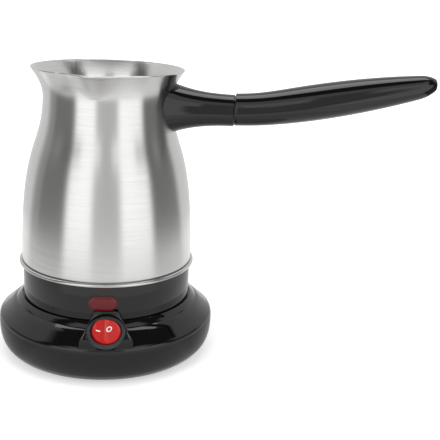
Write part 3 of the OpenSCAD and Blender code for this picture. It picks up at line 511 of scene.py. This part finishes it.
# ---------------------------------------------------------------- the base
WALL_TOP_Z = CREST_Z - 4
CONE_DROP = COVER_T / cos(atan((SEAT_RIM_Z - CREST_Z) / (CREST_R - SEAT_R)))
crest = curve([(CREST_R, CREST_Z), (CREST_R + 0.4, CREST_Z - 0.9), (BASE_R, CREST_Z - 2.4),
               (BASE_R, WALL_TOP_Z)], 14)
wall = curve([(BASE_R, WALL_TOP_Z), (BASE_R, 11.5), (BASE_R - 1.6, 4.6), (SKIRT_R, SKIRT_Z)], 36)
slope_start = SEAT_R + RIM_T
slope = [(slope_start + (CREST_R - slope_start) * t, SEAT_RIM_Z + (CREST_Z - SEAT_RIM_Z) * t)
         for t in (0.25, 0.5, 0.75, 0.93)]
seat = [(SOCKET_OPENING_R, SEAT_Z), (SEAT_R, SEAT_Z), (SEAT_R, SEAT_RIM_Z), (slope_start, SEAT_RIM_Z),
        slope[0]]
inner_wall = [(r - COVER_T - 2 * FIT, z) for r, z in reversed(wall) if z > 5]
cover_outline = rounded(seat, [0.05, 0.2, 0.22, 0.22, 0.01], 3)[:-1] + slope + crest + wall[1:]
cover_outline += [(BOTTOM_OPENING_R, SKIRT_Z), (BOTTOM_OPENING_R, BOTTOM_LIP_Z)] + inner_wall
cover_outline += [(CREST_R - COVER_T, CREST_Z - CONE_DROP), (SEAT_R, SEAT_Z - COVER_T),
                  (SOCKET_OPENING_R, SEAT_Z - COVER_T)]

# The switch pod, in the switch's own frame
POD_SIDE = [(6.2, 14.5), (12.4, 2.0), (15.8, -6.5), (13.6, -11.6)]      # corners of its right side
HOOD_LOW, HOOD_RUN = 2.0, 10.4          # where the hood begins to rise, and over what distance
HOLE_R, BORE_R = FLANGE_R + FIT, BARREL_R + FIT
EDGE = ((0.7, 0.12), (0.3, 0.4), (0.06, 0.85), (0, 1.4))    # rounding of its outer edge: (in, down)


def pod_reach(angle):
    """Distance of the switch pod's outline from the switch's axis."""
    corners = POD_SIDE + [(-x, y) for x, y in reversed(POD_SIDE)]
    ray = Vector((cos(angle), sin(angle)))
    best = FLANGE_R + POD_LEDGE
    for a, b in zip(corners, corners[1:] + corners[:1]):
        a, along = Vector(a), Vector(b) - Vector(a)
        cross = ray.x * along.y - ray.y * along.x
        if abs(cross) > 1e-9:
            far = (a.x * along.y - a.y * along.x) / cross
            part = (a.x * ray.y - a.y * ray.x) / cross
            if far > 0 and 0 <= part <= 1:
                best = max(best, far)
    return best


def pod_profile(angle, far):
    """Section of the pod in one direction, from the bore over the top to the outer edge."""
    def top(r):
        rise = max(0, min((r * sin(angle) - HOOD_LOW) / HOOD_RUN, 1))
        return (HOOD_H + FLANGE_T) * rise - FLANGE_T

    lift = top(HOLE_R)
    step = min(0.5, max(lift + FLANGE_T, 0.02))
    start, end = HOLE_R + 0.5, far - 1.2
    profile = [(BORE_R, -POD_DEPTH), (BORE_R, -FLANGE_T - 0.06), (HOLE_R, -FLANGE_T - 0.05),
               (HOLE_R, lift - step), (HOLE_R + 0.15, lift - step * 0.3), (start, top(start))]
    if end > start:
        profile += [(start + (end - start) * t, top(start + (end - start) * t)) for t in (0.35, 0.7, 1.0)]
    else:
        profile += [(start + 0.02 + 0.02 * k, top(start)) for k in (1, 2, 3)]
    profile += [(far - inwards, top(far) - down) for inwards, down in EDGE]
    return profile + [(far, -POD_DEPTH)]


def pod(around=180):
    """The raised seat of the switch, with its hood round the upper side."""
    angles = [2 * pi * k / around for k in range(around)]
    sharp = [pod_reach(a) for a in angles]
    points = []
    for k, angle in enumerate(angles):
        soft = sum(sharp[(k + d) % around] for d in range(-3, 4)) / 7
        profile = pod_profile(angle, soft)
        points += [(r * cos(angle), r * sin(angle), z) for r, z in profile]
    return points, grid_faces(around, len(profile), close_rows=True)


cover = solid("base_shell", turned(cover_outline, 240), ON_BASE)
inside_crest = solid("inside the crest", rod(CREST_R - FIT, CREST_Z - FIT, 60, 240))
cover = cut(cover, cut(solid("pod", pod(), ON_NOSE), inside_crest, "INTERSECT"), "UNION")
barrel = [(BARREL_R, -FLANGE_T), (BARREL_R, -2.4), (BARREL_R - 1.4, -5.4), (BARREL_R - 1.4, -BARREL_H)]
barrel_hole = turned([(0, 1), (BORE_R, 1)] + [(r + FIT, z) for r, z in barrel[1:3]]
                     + [(BARREL_R - 1.3, -20), (0, -20)], 96)
lens_room = rod(COLLAR_R + 1.5, LENS_Z - LENS_H / 2 - 0.6, LENS_Z + 15, 240)
# The gland's seat goes a little into the boss, so that no two faces lie in one plane
for what, how, tool, place in (
        ("gland boss", "UNION", rod(GLAND_NECK_R + GLAND_WALL, 0, GLAND_L - FIT), ON_INLET),
        ("hole for the barrel", "DIFFERENCE", barrel_hole, ON_NOSE),
        ("seat of the pot", "DIFFERENCE", rod(SEAT_R, SEAT_Z, SEAT_Z + 20, 240), UPRIGHT),
        ("room for the lens", "DIFFERENCE", lens_room, UPRIGHT),
        ("seat of the gland", "DIFFERENCE", rod(GLAND_R + 2 * FIT, -GLAND_H - FIT, 0.04), ON_INLET),
        ("hole for the gland", "DIFFERENCE", rod(GLAND_NECK_R + FIT, -GLAND_H, 12), ON_INLET)):
    cover = cut(cover, solid(what, tool, place), how)
finished(cover, gloss_abs, "base", ["base_cover"])

# ---------------------------------------------------------------- the switch
WELL_R, WELL_DEPTH = ROCKER_R + 0.25, 8.6
well = [(0, -WELL_DEPTH), (4.0, -WELL_DEPTH), (ROCKER_R - 0.85, -5.2), (WELL_R, -2.6), (WELL_R, 0)]
flange = rounded(well + [(FLANGE_R, 0), (FLANGE_R, -FLANGE_T)] + barrel + [(0, -BARREL_H)],
                 [0, 0.3, 0.3, 0.3, 0.9, 1.5, 0.2, 0.1, 0.2, 0.2, 0.5, 0], 7)
finished(solid("switch_bezel", turned(flange), ON_NOSE), polyamide, "base", ["switch_body"])

# Height of the rocker's hollow face over its pivot, by distance from its middle
DISH = sorted((-x, z) for x, z in curve([(-9, 3.35), (-3, 2.2), (-1.5, 1.6), (0, 1.6)], 40))
CAP_EDGE, CAP_LOW = 0.55, -3.0          # rounding of the rocker's edge, and its lower end


def dish(x):
    return between(DISH, abs(x))


def rocker_cap(around=120):
    """The rocker's cap: a ball whose top is pressed into a hollow with a raised end on each side."""
    points = []
    for k in range(around):
        angle = 2 * pi * k / around

        def on_face(r):
            return Vector((r, dish(r * cos(angle))))

        edge = last_below(lambda r: r ** 2 + on_face(r).y ** 2 < ROCKER_R ** 2, 4.0, ROCKER_R)
        flat, corner = edge - CAP_EDGE, on_face(edge)
        end_z = corner.y - CAP_EDGE
        end = Vector((sqrt(ROCKER_R ** 2 - end_z ** 2), end_z))
        profile = [on_face(flat * j / 10) for j in range(11)]
        for t in (0.2, 0.4, 0.6, 0.8):
            profile.append((1 - t) ** 2 * on_face(flat) + 2 * t * (1 - t) * corner + t * t * end)
        for z in [end_z] + steps(end_z, CAP_LOW, 6):
            profile.append((sqrt(ROCKER_R ** 2 - z * z), z))
        profile.append((0, CAP_LOW))
        points += [(r * cos(angle), r * sin(angle), z) for r, z in profile]
    return points, grid_faces(around, len(profile), close_rows=True, close_columns=False)


def inlay(outer, inner):
    """A flat mark let into the rocker's face, between two outlines with the same number of points."""
    rings = [(outer, -0.2), (outer, 0.04), (inner, 0.04), (inner, -0.2)]
    points = [(x, y, dish(x) + lift) for ring, lift in rings for x, y in ring]
    return points, grid_faces(4, len(outer), close_rows=True)


def slanted(width, height):
    """An oval that leans a little, as a thin ring's outline."""
    return [(1.39 + width * x + 0.25 * height * y, 1.38 + height * y) for x, y, _ in around_z(1, 0, 48)]


def dash(scale):
    """A short line beside the oval, or its own middle."""
    return [(scale * x - 5.02, scale * y - 1.04) for x, y in stadium(2.7, 0.75, 6)]


finished(solid("rocker_cap", rocker_cap(), ON_ROCKER), tinted_red, "rocker", ["rocker"])
off_mark, on_mark = inlay(slanted(1.55, 1.85), slanted(0.98, 1.25)), inlay(dash(1), dash(0.05))
finished(solid("rocker_marks", joined(off_mark, on_mark), ON_ROCKER), printed_white, "rocker")

# ---------------------------------------------------------------- the handle
TRUMPET_CUTS = 120
TRUMPET = curve([(FERRULE_X, FERRULE_ROOT_R), (46, 11.6), (58, FERRULE_END_R), (SEAM_X, FERRULE_END_R)],
                TRUMPET_CUTS)
POT_PLAY = 0.06         # between the pot's wall and the ferrule's root
SCREW_BORE_R, BRACKET_BORE_R, BRACKET_END_X = 2.1, 4.7, 52.2    # the wide bore ends at BRACKET_END_X
SEAM_EDGE = 0.3         # chamfer of the ferrule at the seam


def ferrule(around=120, along=48):
    """The trumpet between the pot and the grip, with its root shaped to the pot."""
    columns = []
    for k in range(around):
        angle = 2 * pi * k / around
        out = Vector((0, cos(angle), sin(angle)))

        def at(place):
            i = min(int(place * TRUMPET_CUTS), TRUMPET_CUTS - 1)
            (x0, r0), (x1, r1) = TRUMPET[i], TRUMPET[i + 1]
            t = place * TRUMPET_CUTS - i
            return Vector((x0 + (x1 - x0) * t, 0, HANDLE_Z)) + (r0 + (r1 - r0) * t) * out

        def in_pot(place):
            p = at(place)
            return hypot(p.x, p.y) < pot_radius(p.z) + POT_PLAY

        low = last_below(in_pot, 0.0, 1.0)
        root = at(low)
        column = [at(low + (1 - low) * (i / along) ** 1.15) for i in range(along - 1)]
        column += [at(1) - Vector((SEAM_EDGE, 0, 0)), at(1) - out * SEAM_EDGE]
        for x in (SEAM_X, SEAM_X + SEAM_GAP - 0.05):
            column.append(Vector((x, 0, HANDLE_Z)) + SPIGOT_R * out)
        for x, r in ((SEAM_X + SEAM_GAP - 0.05, SCREW_BORE_R), (BRACKET_END_X + 0.1, SCREW_BORE_R),
                     (BRACKET_END_X, BRACKET_BORE_R)):
            column.append(Vector((x, 0, SCREW_ROOT[1] + (x - SCREW_ROOT[0]) * SCREW_SLOPE)) + r * out)
        mouth = Vector((0, 0, SCREW_ROOT[1] - 0.5)) + BRACKET_BORE_R * out
        for i in range(4):
            p = mouth.lerp(root, i / 4)
            column.append(Vector((sqrt(max((pot_radius(p.z) + POT_PLAY) ** 2 - p.y ** 2, 1)), p.y, p.z)))
        columns.append(column)
    points = [column[i] for i in range(len(column)) for column in columns]
    return points, grid_faces(len(column), around, close_rows=True)


def grip_height(x):
    return HANDLE_Z + GRIP_SLOPE * (sqrt((x - BEND_X) ** 2 + BEND_W ** 2) + x - BEND_X) / 2


def grip_swell(x):
    """How far the grip has swollen between the seam and its thickest part, from 0 to 1."""
    return (1 - cos(pi * min(x - SEAM_X, GRIP_THICK_X - SEAM_X) / (GRIP_THICK_X - SEAM_X))) / 2


def grip_half(x):
    half = GRIP_START_H + (GRIP_THICK_H - GRIP_START_H) * grip_swell(x)
    if x > GRIP_THICK_X:
        half = GRIP_THICK_H - GRIP_THIN * ((x - GRIP_THICK_X) / GRIP_THIN_L) ** 2
    if x > TIP_X - CAP_L:
        half *= sqrt(max(0, 1 - ((x - TIP_X + CAP_L) / CAP_L) ** 2))
    return half


def grip(sides=96):
    """The long, rising grip: an oval that swells and then tapers to a rounded tip."""
    start = SEAM_X + SEAM_GAP
    stations = [start, start + 0.12, start + 0.4]
    stations += steps(start + 0.4, TIP_X - CAP_L, 90)
    stations += [TIP_X - CAP_L + CAP_L * sin(radians(90 * i / 18)) for i in range(1, 19)]
    points = [(start, 0, grip_height(start))] * sides
    for n, x in enumerate(stations):
        half = grip_half(x) - (0.4, 0.12, 0)[min(n, 2)]
        wide = half * (1 + GRIP_WIDENING * grip_swell(x))
        points += [(x, wide * y, grip_height(x) + half * z) for y, z, _ in around_z(1, 0, sides)]
    return points, grid_faces(len(stations) + 1, sides)


finished(solid("ferrule", ferrule()), gloss_abs, "pot", ["handle_ferrule"])

BIG_HEAD_R, BIG_HEAD_T, BIG_SCREW_R, BIG_PITCH = 3.4, 2.2, 2.0, 1.1
drill = turned([(0, 2), (SCREW_BORE_R, 2), (SCREW_BORE_R, SCREW_L), (BIG_HEAD_R + 2 * FIT, SCREW_L),
                (BIG_HEAD_R + 2 * FIT, SCREW_L + 30), (0, SCREW_L + 30)], 64)
finished(cut(solid("grip", grip()), solid("drill", drill, ON_SCREW)), gloss_abs, "pot", ["handle_grip"])

# ---------------------------------------------------------------- the cord's gland
gland = rounded([(CORD_R, -GLAND_H), (GLAND_R, -GLAND_H), (GLAND_R, 0), (GLAND_NECK_R, 0),
                 (GLAND_NECK_R, GLAND_L), (GLAND_NECK_R + GLAND_LIP, GLAND_L),
                 (GLAND_NECK_R + GLAND_LIP, GLAND_L + GLAND_LIP_L), (CORD_R, GLAND_L + GLAND_LIP_L)],
                [0.5, 1.0, 0.2, 0.2, 0.2, 0.3, 0.4, 0.3])
finished(solid("gland", turned(gland, 72), ON_INLET), rubber, "base", ["cord_gland"])


# ---------------------------------------------------------------- what repeats or winds, by geometry trees
def tree_of(name, sockets):
    """A geometry tree with named inputs and one geometry output."""
    tree = bpy.data.node_groups.new(name, "GeometryNodeTree")
    for label, kind in sockets:
        tree.interface.new_socket(label, in_out="INPUT", socket_type="NodeSocket" + kind)
    tree.interface.new_socket("Geometry", in_out="OUTPUT", socket_type="NodeSocketGeometry")
    return tree, add(tree, "NodeGroupInput").outputs


def wound(tree, given, outline_sides):
    """A wire that winds round Z, from the tree's Radius, Pitch, Length and Wire."""
    turns = add(tree, "ShaderNodeMath", {0: given["Length"], 1: given["Pitch"]}, operation="DIVIDE")
    path = add(tree, "GeometryNodeCurveSpiral", {
        "Resolution": 24, "Rotations": turns.outputs[0], "Start Radius": given["Radius"],
        "End Radius": given["Radius"], "Height": given["Length"]})
    outline = add(tree, "GeometryNodeCurvePrimitiveCircle", {
        "Resolution": outline_sides, "Radius": given["Wire"]})
    return add(tree, "GeometryNodeCurveToMesh", {
        "Curve": path.outputs[0], "Profile Curve": outline.outputs[0], "Fill Caps": True}).outputs[0]


def closed_off(tree, given, geometry):
    """Ends a tree: real meshes in the finish that was asked for."""
    real = add(tree, "GeometryNodeRealizeInstances", {"Geometry": geometry})
    coated = add(tree, "GeometryNodeSetMaterial", {"Geometry": real.outputs[0], "Material": given["Finish"]})
    add(tree, "NodeGroupOutput", {"Geometry": coated.outputs[0]})
    return tree


WINDING = [("Radius", "Float"), ("Pitch", "Float"), ("Length", "Float"), ("Wire", "Float")]
IN_RING = [("Count", "Int"), ("Distance", "Float")]
IN_ROWS = [("Columns", "Int"), ("Rows", "Int"), ("Width", "Float"), ("Depth", "Float")]


def repeating(name, places, threaded=True):
    """A tree that repeats a piece in a ring or in rows, with a thread wound round each shaft."""
    thread_sockets = WINDING + [("Thread Start", "Vector")] if threaded else []
    tree, given = tree_of(name, [("Piece", "Object"), ("Finish", "Material")] + places + thread_sockets)
    piece = add(tree, "GeometryNodeObjectInfo", {"Object": given["Piece"]}).outputs["Geometry"]
    if threaded:
        ridge = add(tree, "GeometryNodeTransform", {
            "Geometry": wound(tree, given, 4), "Translation": given["Thread Start"]})
        both = add(tree, "GeometryNodeJoinGeometry", {0: piece})
        tree.links.new(ridge.outputs[0], both.inputs[0])
        piece = both.outputs[0]
    if places == IN_RING:
        points = add(tree, "GeometryNodeMeshCircle", {
            "Vertices": given["Count"], "Radius": given["Distance"]})
    else:
        points = add(tree, "GeometryNodeMeshGrid", {
            "Vertices X": given["Columns"], "Vertices Y": given["Rows"], "Size X": given["Width"],
            "Size Y": given["Depth"]})
    copies = add(tree, "GeometryNodeInstanceOnPoints", {"Points": points.outputs[0], "Instance": piece})
    return closed_off(tree, given, copies.outputs[0])


def built(name, tree, values, place, material):
    """What a tree makes from its inputs, as a plain mesh in place of the CAD node of that name."""
    thing = bpy.data.objects.new(name + "_look", bpy.data.meshes.new(name))
    bpy.context.scene.collection.objects.link(thing)
    step = thing.modifiers.new("rule", "NODES")
    step.node_group = tree
    for item in tree.interface.items_tree:
        if item.in_out == "INPUT":
            step[item.identifier] = material if item.name == "Finish" else values[item.name]
    frozen(thing)
    thing.data.transform(Matrix.Scale(MM, 4) @ place @ Matrix.Scale(1 / MM, 4))
    body = body_of(frame["nodes"][name])[0]
    return finished(thing, material, body, [name])


def screw(head_r, head_t, shaft_r, length, ridge):
    """A pan head with a cross recess on a shaft, its outer face at z = 0."""
    core = shaft_r - ridge
    outline = rounded([(0, 0), (head_r, 0), (head_r, head_t), (core, head_t), (core, length - 1),
                       (0, length)], [0, 0.55 * head_t, 0.15, 0, 0, 0])
    cross = []
    for reach, half, z in ((0.6 * head_r, 0.14 * head_r, -0.2), (0.2 * head_r, 0.09 * head_r, 0.75 * head_t)):
        for c, s in ((1, 0), (0, 1), (-1, 0), (0, -1)):
            cross += [(arm * c - wide * s, arm * s + wide * c, z)
                      for arm, wide in ((reach, -half), (reach, half), (half, half))]
    recess = cross, grid_faces(2, 12) + [tuple(range(12)), tuple(range(12, 24))]
    return cut(solid("screw", turned(outline, 48)), solid("cross recess", recess))


def thread(shaft_r, start, length, pitch, ridge):
    return {"Radius": (shaft_r - ridge) * MM, "Pitch": pitch * MM, "Length": length * MM, "Wire": ridge * MM,
            "Thread Start": (0, 0, start * MM)}


def rows_of(columns, rows, width, depth):
    return {"Columns": columns, "Rows": rows, "Width": width * MM, "Depth": depth * MM}


in_rows, in_ring = repeating("screws_in_rows", IN_ROWS), repeating("screws_in_ring", IN_RING)
small, big = (HEAD_R, HEAD_T, SCREW_R, SCREW_PITCH), (BIG_HEAD_R, BIG_HEAD_T, BIG_SCREW_R, BIG_PITCH)
big_length = SCREW_L + BIG_HEAD_T
screw_x, screw_y = SCREW_AT * cos(radians(SCREW_SIDE)), SCREW_AT * sin(radians(SCREW_SIDE))
for node, tree, kind, length, where, place in (
        ("base_screws", in_rows, small, 12, rows_of(2, 2, 2 * screw_x, 2 * screw_y),
         ON_BASE @ shift(0, 0, 2.4)),
        ("clamp_screws", in_rows, small, 14, rows_of(2, 1, 2 * CLAMP_X, 0),
         ON_BASE @ shift(0, CLAMP_Y, 19.1) @ FLIPPED),
        ("handle_screw", in_rows, big, big_length, rows_of(1, 1, 0, 0),
         ON_SCREW @ shift(0, 0, big_length) @ FLIPPED),
        ("collar_screws", in_ring, small, 12, {"Count": 3, "Distance": STUD_AT * MM},
         shift(0, 0, 37.4) @ turn(30, "Z"))):
    head_r, head_t, shaft_r, pitch = kind
    ridge = 0.3 * pitch
    piece = screw(head_r, head_t, shaft_r, length, ridge)
    threaded = min(length - head_t - 1.6, 16)
    winding = thread(shaft_r, length - 1.2 - threaded, threaded, pitch, ridge)
    built(node, tree, {"Piece": piece, **where, **winding}, place, zinc_steel)
    bpy.data.objects.remove(piece)

foot_outline = rounded([(0, 0), (FOOT_R, 0), (FOOT_R, FOOT_H), (0, FOOT_H)], [0, 0.8, 0.2, 0])
foot = solid("foot", turned(foot_outline, 48))
built("rubber_feet", repeating("feet_in_ring", IN_RING, False),
      {"Piece": foot, "Count": 4, "Distance": FOOT_AT * MM}, ON_BASE @ turn(45, "Z"), rubber)
bpy.data.objects.remove(foot)

spring_tree, spring_inputs = tree_of("wound_spring", WINDING + [("Finish", "Material")])
closed_off(spring_tree, spring_inputs, wound(spring_tree, spring_inputs, 12))
SPRING_PLAY = 0.02
shutter_low, shutter_high = (corner[2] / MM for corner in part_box("shutter_spring"))
for node, radius, wire, turns, low, high, place in (
        ("shutter_spring", SPRING_R, SPRING_WIRE_R, 5, shutter_low, shutter_high, UPRIGHT),
        ("rocker_spring", COIL_R, COIL_WIRE_R, 3, -4.35, -2.25, ON_ROCKER)):
    length = high - low - 2 * (wire + SPRING_PLAY)
    winding = {"Radius": (radius - SPRING_PLAY) * MM, "Pitch": length / turns * MM, "Length": length * MM,
               "Wire": wire * MM}
    first_turn = place @ shift(0, 0, low + wire + SPRING_PLAY)
    built(node, spring_tree, winding, first_turn, zinc_steel)


# ---------------------------------------------------------------- studio
def plain(name, colour, glow=0.0, far_glow=0.0):
    """A studio surface; its glow, which grows away from the object, is for the camera and reflections."""
    material, tree = empty_material(name)
    skin = add(tree, "ShaderNodeBsdfDiffuse", {"Color": linear(colour)})
    light_path = add(tree, "ShaderNodeLightPath")
    seen = add(tree, "ShaderNodeMath", {0: light_path.outputs["Is Camera Ray"],
                                        1: light_path.outputs["Is Glossy Ray"]}, operation="ADD")
    place = add(tree, "ShaderNodeTexCoord").outputs["Object"]
    distance = add(tree, "ShaderNodeVectorMath", {0: place}, operation="LENGTH")
    reach = add(tree, "ShaderNodeMapRange", {
        "Value": distance.outputs["Value"], "From Min": 0.3, "From Max": 0.9,
        "To Min": glow, "To Max": far_glow})
    level = add(tree, "ShaderNodeMath", {0: seen.outputs[0], 1: reach.outputs[0]}, operation="MULTIPLY")
    shine = add(tree, "ShaderNodeEmission", {"Strength": level.outputs[0]})
    both = add(tree, "ShaderNodeAddShader", {0: skin.outputs[0], 1: shine.outputs[0]})
    add(tree, "ShaderNodeOutputMaterial", {"Surface": both.outputs[0]})
    return material


BAND_MOST = 3.0         # the brightest level of a band


def bands(name, table):
    """A studio surface that is lit in soft bands round the object: (degrees from the main view, level)."""
    material, tree = empty_material(name)
    place = add(tree, "ShaderNodeTexCoord").outputs["Object"]
    around = add(tree, "ShaderNodeTexGradient", {"Vector": place}, gradient_type="RADIAL")
    ramp = add(tree, "ShaderNodeValToRGB", {"Fac": around.outputs["Fac"]})
    stops = sorted((((side + CAMERA_SIDE + 90) / 360) % 1, grey / BAND_MOST) for side, grey in table)
    elements = ramp.color_ramp.elements
    while len(elements) < len(stops):
        elements.new(0.5)
    for element, (position, grey) in zip(elements, stops):
        element.position = position
        element.color = (grey, grey, grey, 1)
    shine = add(tree, "ShaderNodeEmission", {"Color": ramp.outputs["Color"], "Strength": BAND_MOST})
    add(tree, "ShaderNodeOutputMaterial", {"Surface": shine.outputs[0]})
    return material


def even(name, level):
    return bands(name, ((0, level), (180, level)))


def card(name, first, last, material, start=-180, end=180):
    """A round studio card between two (distance, height) edges and two directions from the main view.

    Only polished surfaces see it.
    """
    points, count = [], 24
    for distance, z in (first, last):
        for k in range(count + 1):
            side = radians(CAMERA_SIDE + start + (end - start) * k / count)
            points.append((distance * sin(side), -distance * cos(side), z))
    mesh = bpy.data.meshes.new(name)
    mesh.from_pydata(points, [], grid_faces(2, count + 1, close_columns=False))
    thing = bpy.data.objects.new(name, mesh)
    bpy.context.scene.collection.objects.link(thing)
    mesh.materials.append(material)
    for ray in ("camera", "diffuse", "shadow", "transmission"):
        setattr(thing, "visible_" + ray, False)


# What polished surfaces see: soft bands near the horizon, others higher up, and pale rings on the floor.
low_bands = bands("surround_low", (
    (-178, 0.78), (-124, 0.78), (-112, 0.34), (-84, 0.2), (-60, 0.2), (-52, 1.5), (-24, 1.5), (-17, 0.64),
    (13, 0.6), (21, 1.5), (56, 1.4), (64, 0.17), (106, 0.24), (117, 0.78), (178, 0.78)))
high_bands = bands("surround_high", (
    (-178, 0.8), (-86, 0.8), (-78, 0.05), (-48, 0.05), (-42, 1.45), (-14, 1.45), (-9, 0.6), (4, 0.6),
    (9, 1.45), (42, 1.45), (48, 0.05), (76, 0.05), (84, 0.8), (178, 0.8)))
upper_bands = bands("surround_upper", (
    (-178, 0.85), (-94, 0.85), (-84, 0.06), (-66, 0.06), (-56, 1.0), (56, 1.0), (66, 0.06), (94, 0.06),
    (104, 0.7), (178, 0.8)))
card("surround_low", (1.7, -0.01), (1.7, 0.8), low_bands)
card("surround_low_floor", (0.34, 0.002), (1.7, 0.002), low_bands)
card("surround_high", (1.7, 0.8), (1.5, 1.5), high_bands)
card("surround_upper", (1.5, 1.5), (1.15, 2.2), upper_bands)
for name, inner, outer, front, left, right in (
        ("near", 0.065, 0.125, 0.68, 0.5, 0.5), ("middle", 0.125, 0.2, 0.85, 0.85, 0.85),
        ("far", 0.2, 0.34, 1.1, 0.8, 0.9)):
    pale = bands("pale_" + name, (
        (-178, front), (-124, front), (-110, left), (-62, left), (-52, front), (54, front), (66, right),
        (108, right), (120, front), (178, front)))
    card("floor_" + name, (inner, 0.001), (outer, 0.001), pale)
card("ceiling", (0.01, 2.4), (1.15, 2.2), even("ceiling_dark", 0.06))
card("strip_above", (0.02, 1.8), (1.1, 1.8), even("strip", BAND_MOST), 95, 250)

FLOOR_HALF, FLOOR_LEVEL = 20, -0.0002   # metres; just under the feet
corners = [(x * FLOOR_HALF, y * FLOOR_HALF, FLOOR_LEVEL) for x, y in ((-1, -1), (1, -1), (1, 1), (-1, 1))]
floor = bpy.data.meshes.new("floor")
floor.from_pydata(corners, [], [(0, 1, 2, 3)])
floor.materials.append(plain("paper_white", "#dcdcdc", glow=0.5, far_glow=1.0))
floor_sheet = bpy.data.objects.new("floor", floor)
bpy.context.scene.collection.objects.link(floor_sheet)


def softbox(name, side, height, distance, width, tall, watts):
    """A soft lamp that looks at the pot, placed by its direction from the main view."""
    lamp = bpy.data.lights.new(name, "AREA")
    lamp.shape, lamp.size, lamp.size_y, lamp.energy = "RECTANGLE", width, tall, watts
    thing = bpy.data.objects.new(name, lamp)
    angle = radians(CAMERA_SIDE + side)
    place = Vector((distance * sin(angle), -distance * cos(angle), height))
    look = (place - Vector((0, 0, 0.1))).to_track_quat("Z", "Y")
    thing.matrix_world = Matrix.Translation(place) @ look.to_matrix().to_4x4()
    thing.visible_camera = thing.visible_glossy = False
    bpy.context.scene.collection.objects.link(thing)


softbox("softbox_left", -40, 0.55, 1.25, 0.78, 1.5, 8)
softbox("softbox_right", 40, 0.55, 1.25, 0.82, 1.5, 8)
softbox("softbox_top", 0, 1.6, 0.1, 1.2, 1.2, 12)

# White for the camera, reflections and what is seen through glass; dimmer as a light
world = bpy.data.worlds.new("studio")
bpy.context.scene.world = world
world.use_nodes = True
sky = world.node_tree
sky.nodes.clear()
path = add(sky, "ShaderNodeLightPath")
sharp = add(sky, "ShaderNodeMath", {0: path.outputs["Is Camera Ray"], 1: path.outputs["Is Glossy Ray"]},
            operation="MAXIMUM")
clear = add(sky, "ShaderNodeMath", {0: sharp.outputs[0], 1: path.outputs["Is Transmission Ray"]},
            operation="MAXIMUM")
level = add(sky, "ShaderNodeMapRange", {"Value": clear.outputs[0], "To Min": 0.44, "To Max": 1.0})
air = add(sky, "ShaderNodeBackground", {"Color": (1, 1, 1, 1), "Strength": level.outputs[0]})
add(sky, "ShaderNodeOutputWorld", {"Surface": air.outputs[0]})

CAMERA_AT = (0.086, -0.488, 0.2303)     # metres
YAW, PITCH, ROLL = radians(8.146), radians(16.487), radians(2.634)      # before the turn to the main view
lens = bpy.data.cameras.new("camera")
lens.sensor_width, lens.lens = 36.0, 67.1
camera = bpy.data.objects.new("camera", lens)
bpy.context.scene.collection.objects.link(camera)
bpy.context.scene.camera = camera
ahead = Vector((sin(YAW) * cos(PITCH), cos(YAW) * cos(PITCH), -sin(PITCH)))
level_right = Vector((cos(YAW), -sin(YAW), 0))
level_up = level_right.cross(ahead)
right = cos(ROLL) * level_right + sin(ROLL) * level_up
up = -sin(ROLL) * level_right + cos(ROLL) * level_up
aim = Matrix((right, up, -ahead)).transposed()
side_turn = Matrix.Rotation(radians(CAMERA_SIDE), 3, "Z")
camera.matrix_world = Matrix.Translation(CAMERA_AT) @ (side_turn @ aim).to_4x4()

bpy.context.scene.view_settings.view_transform = "Standard"
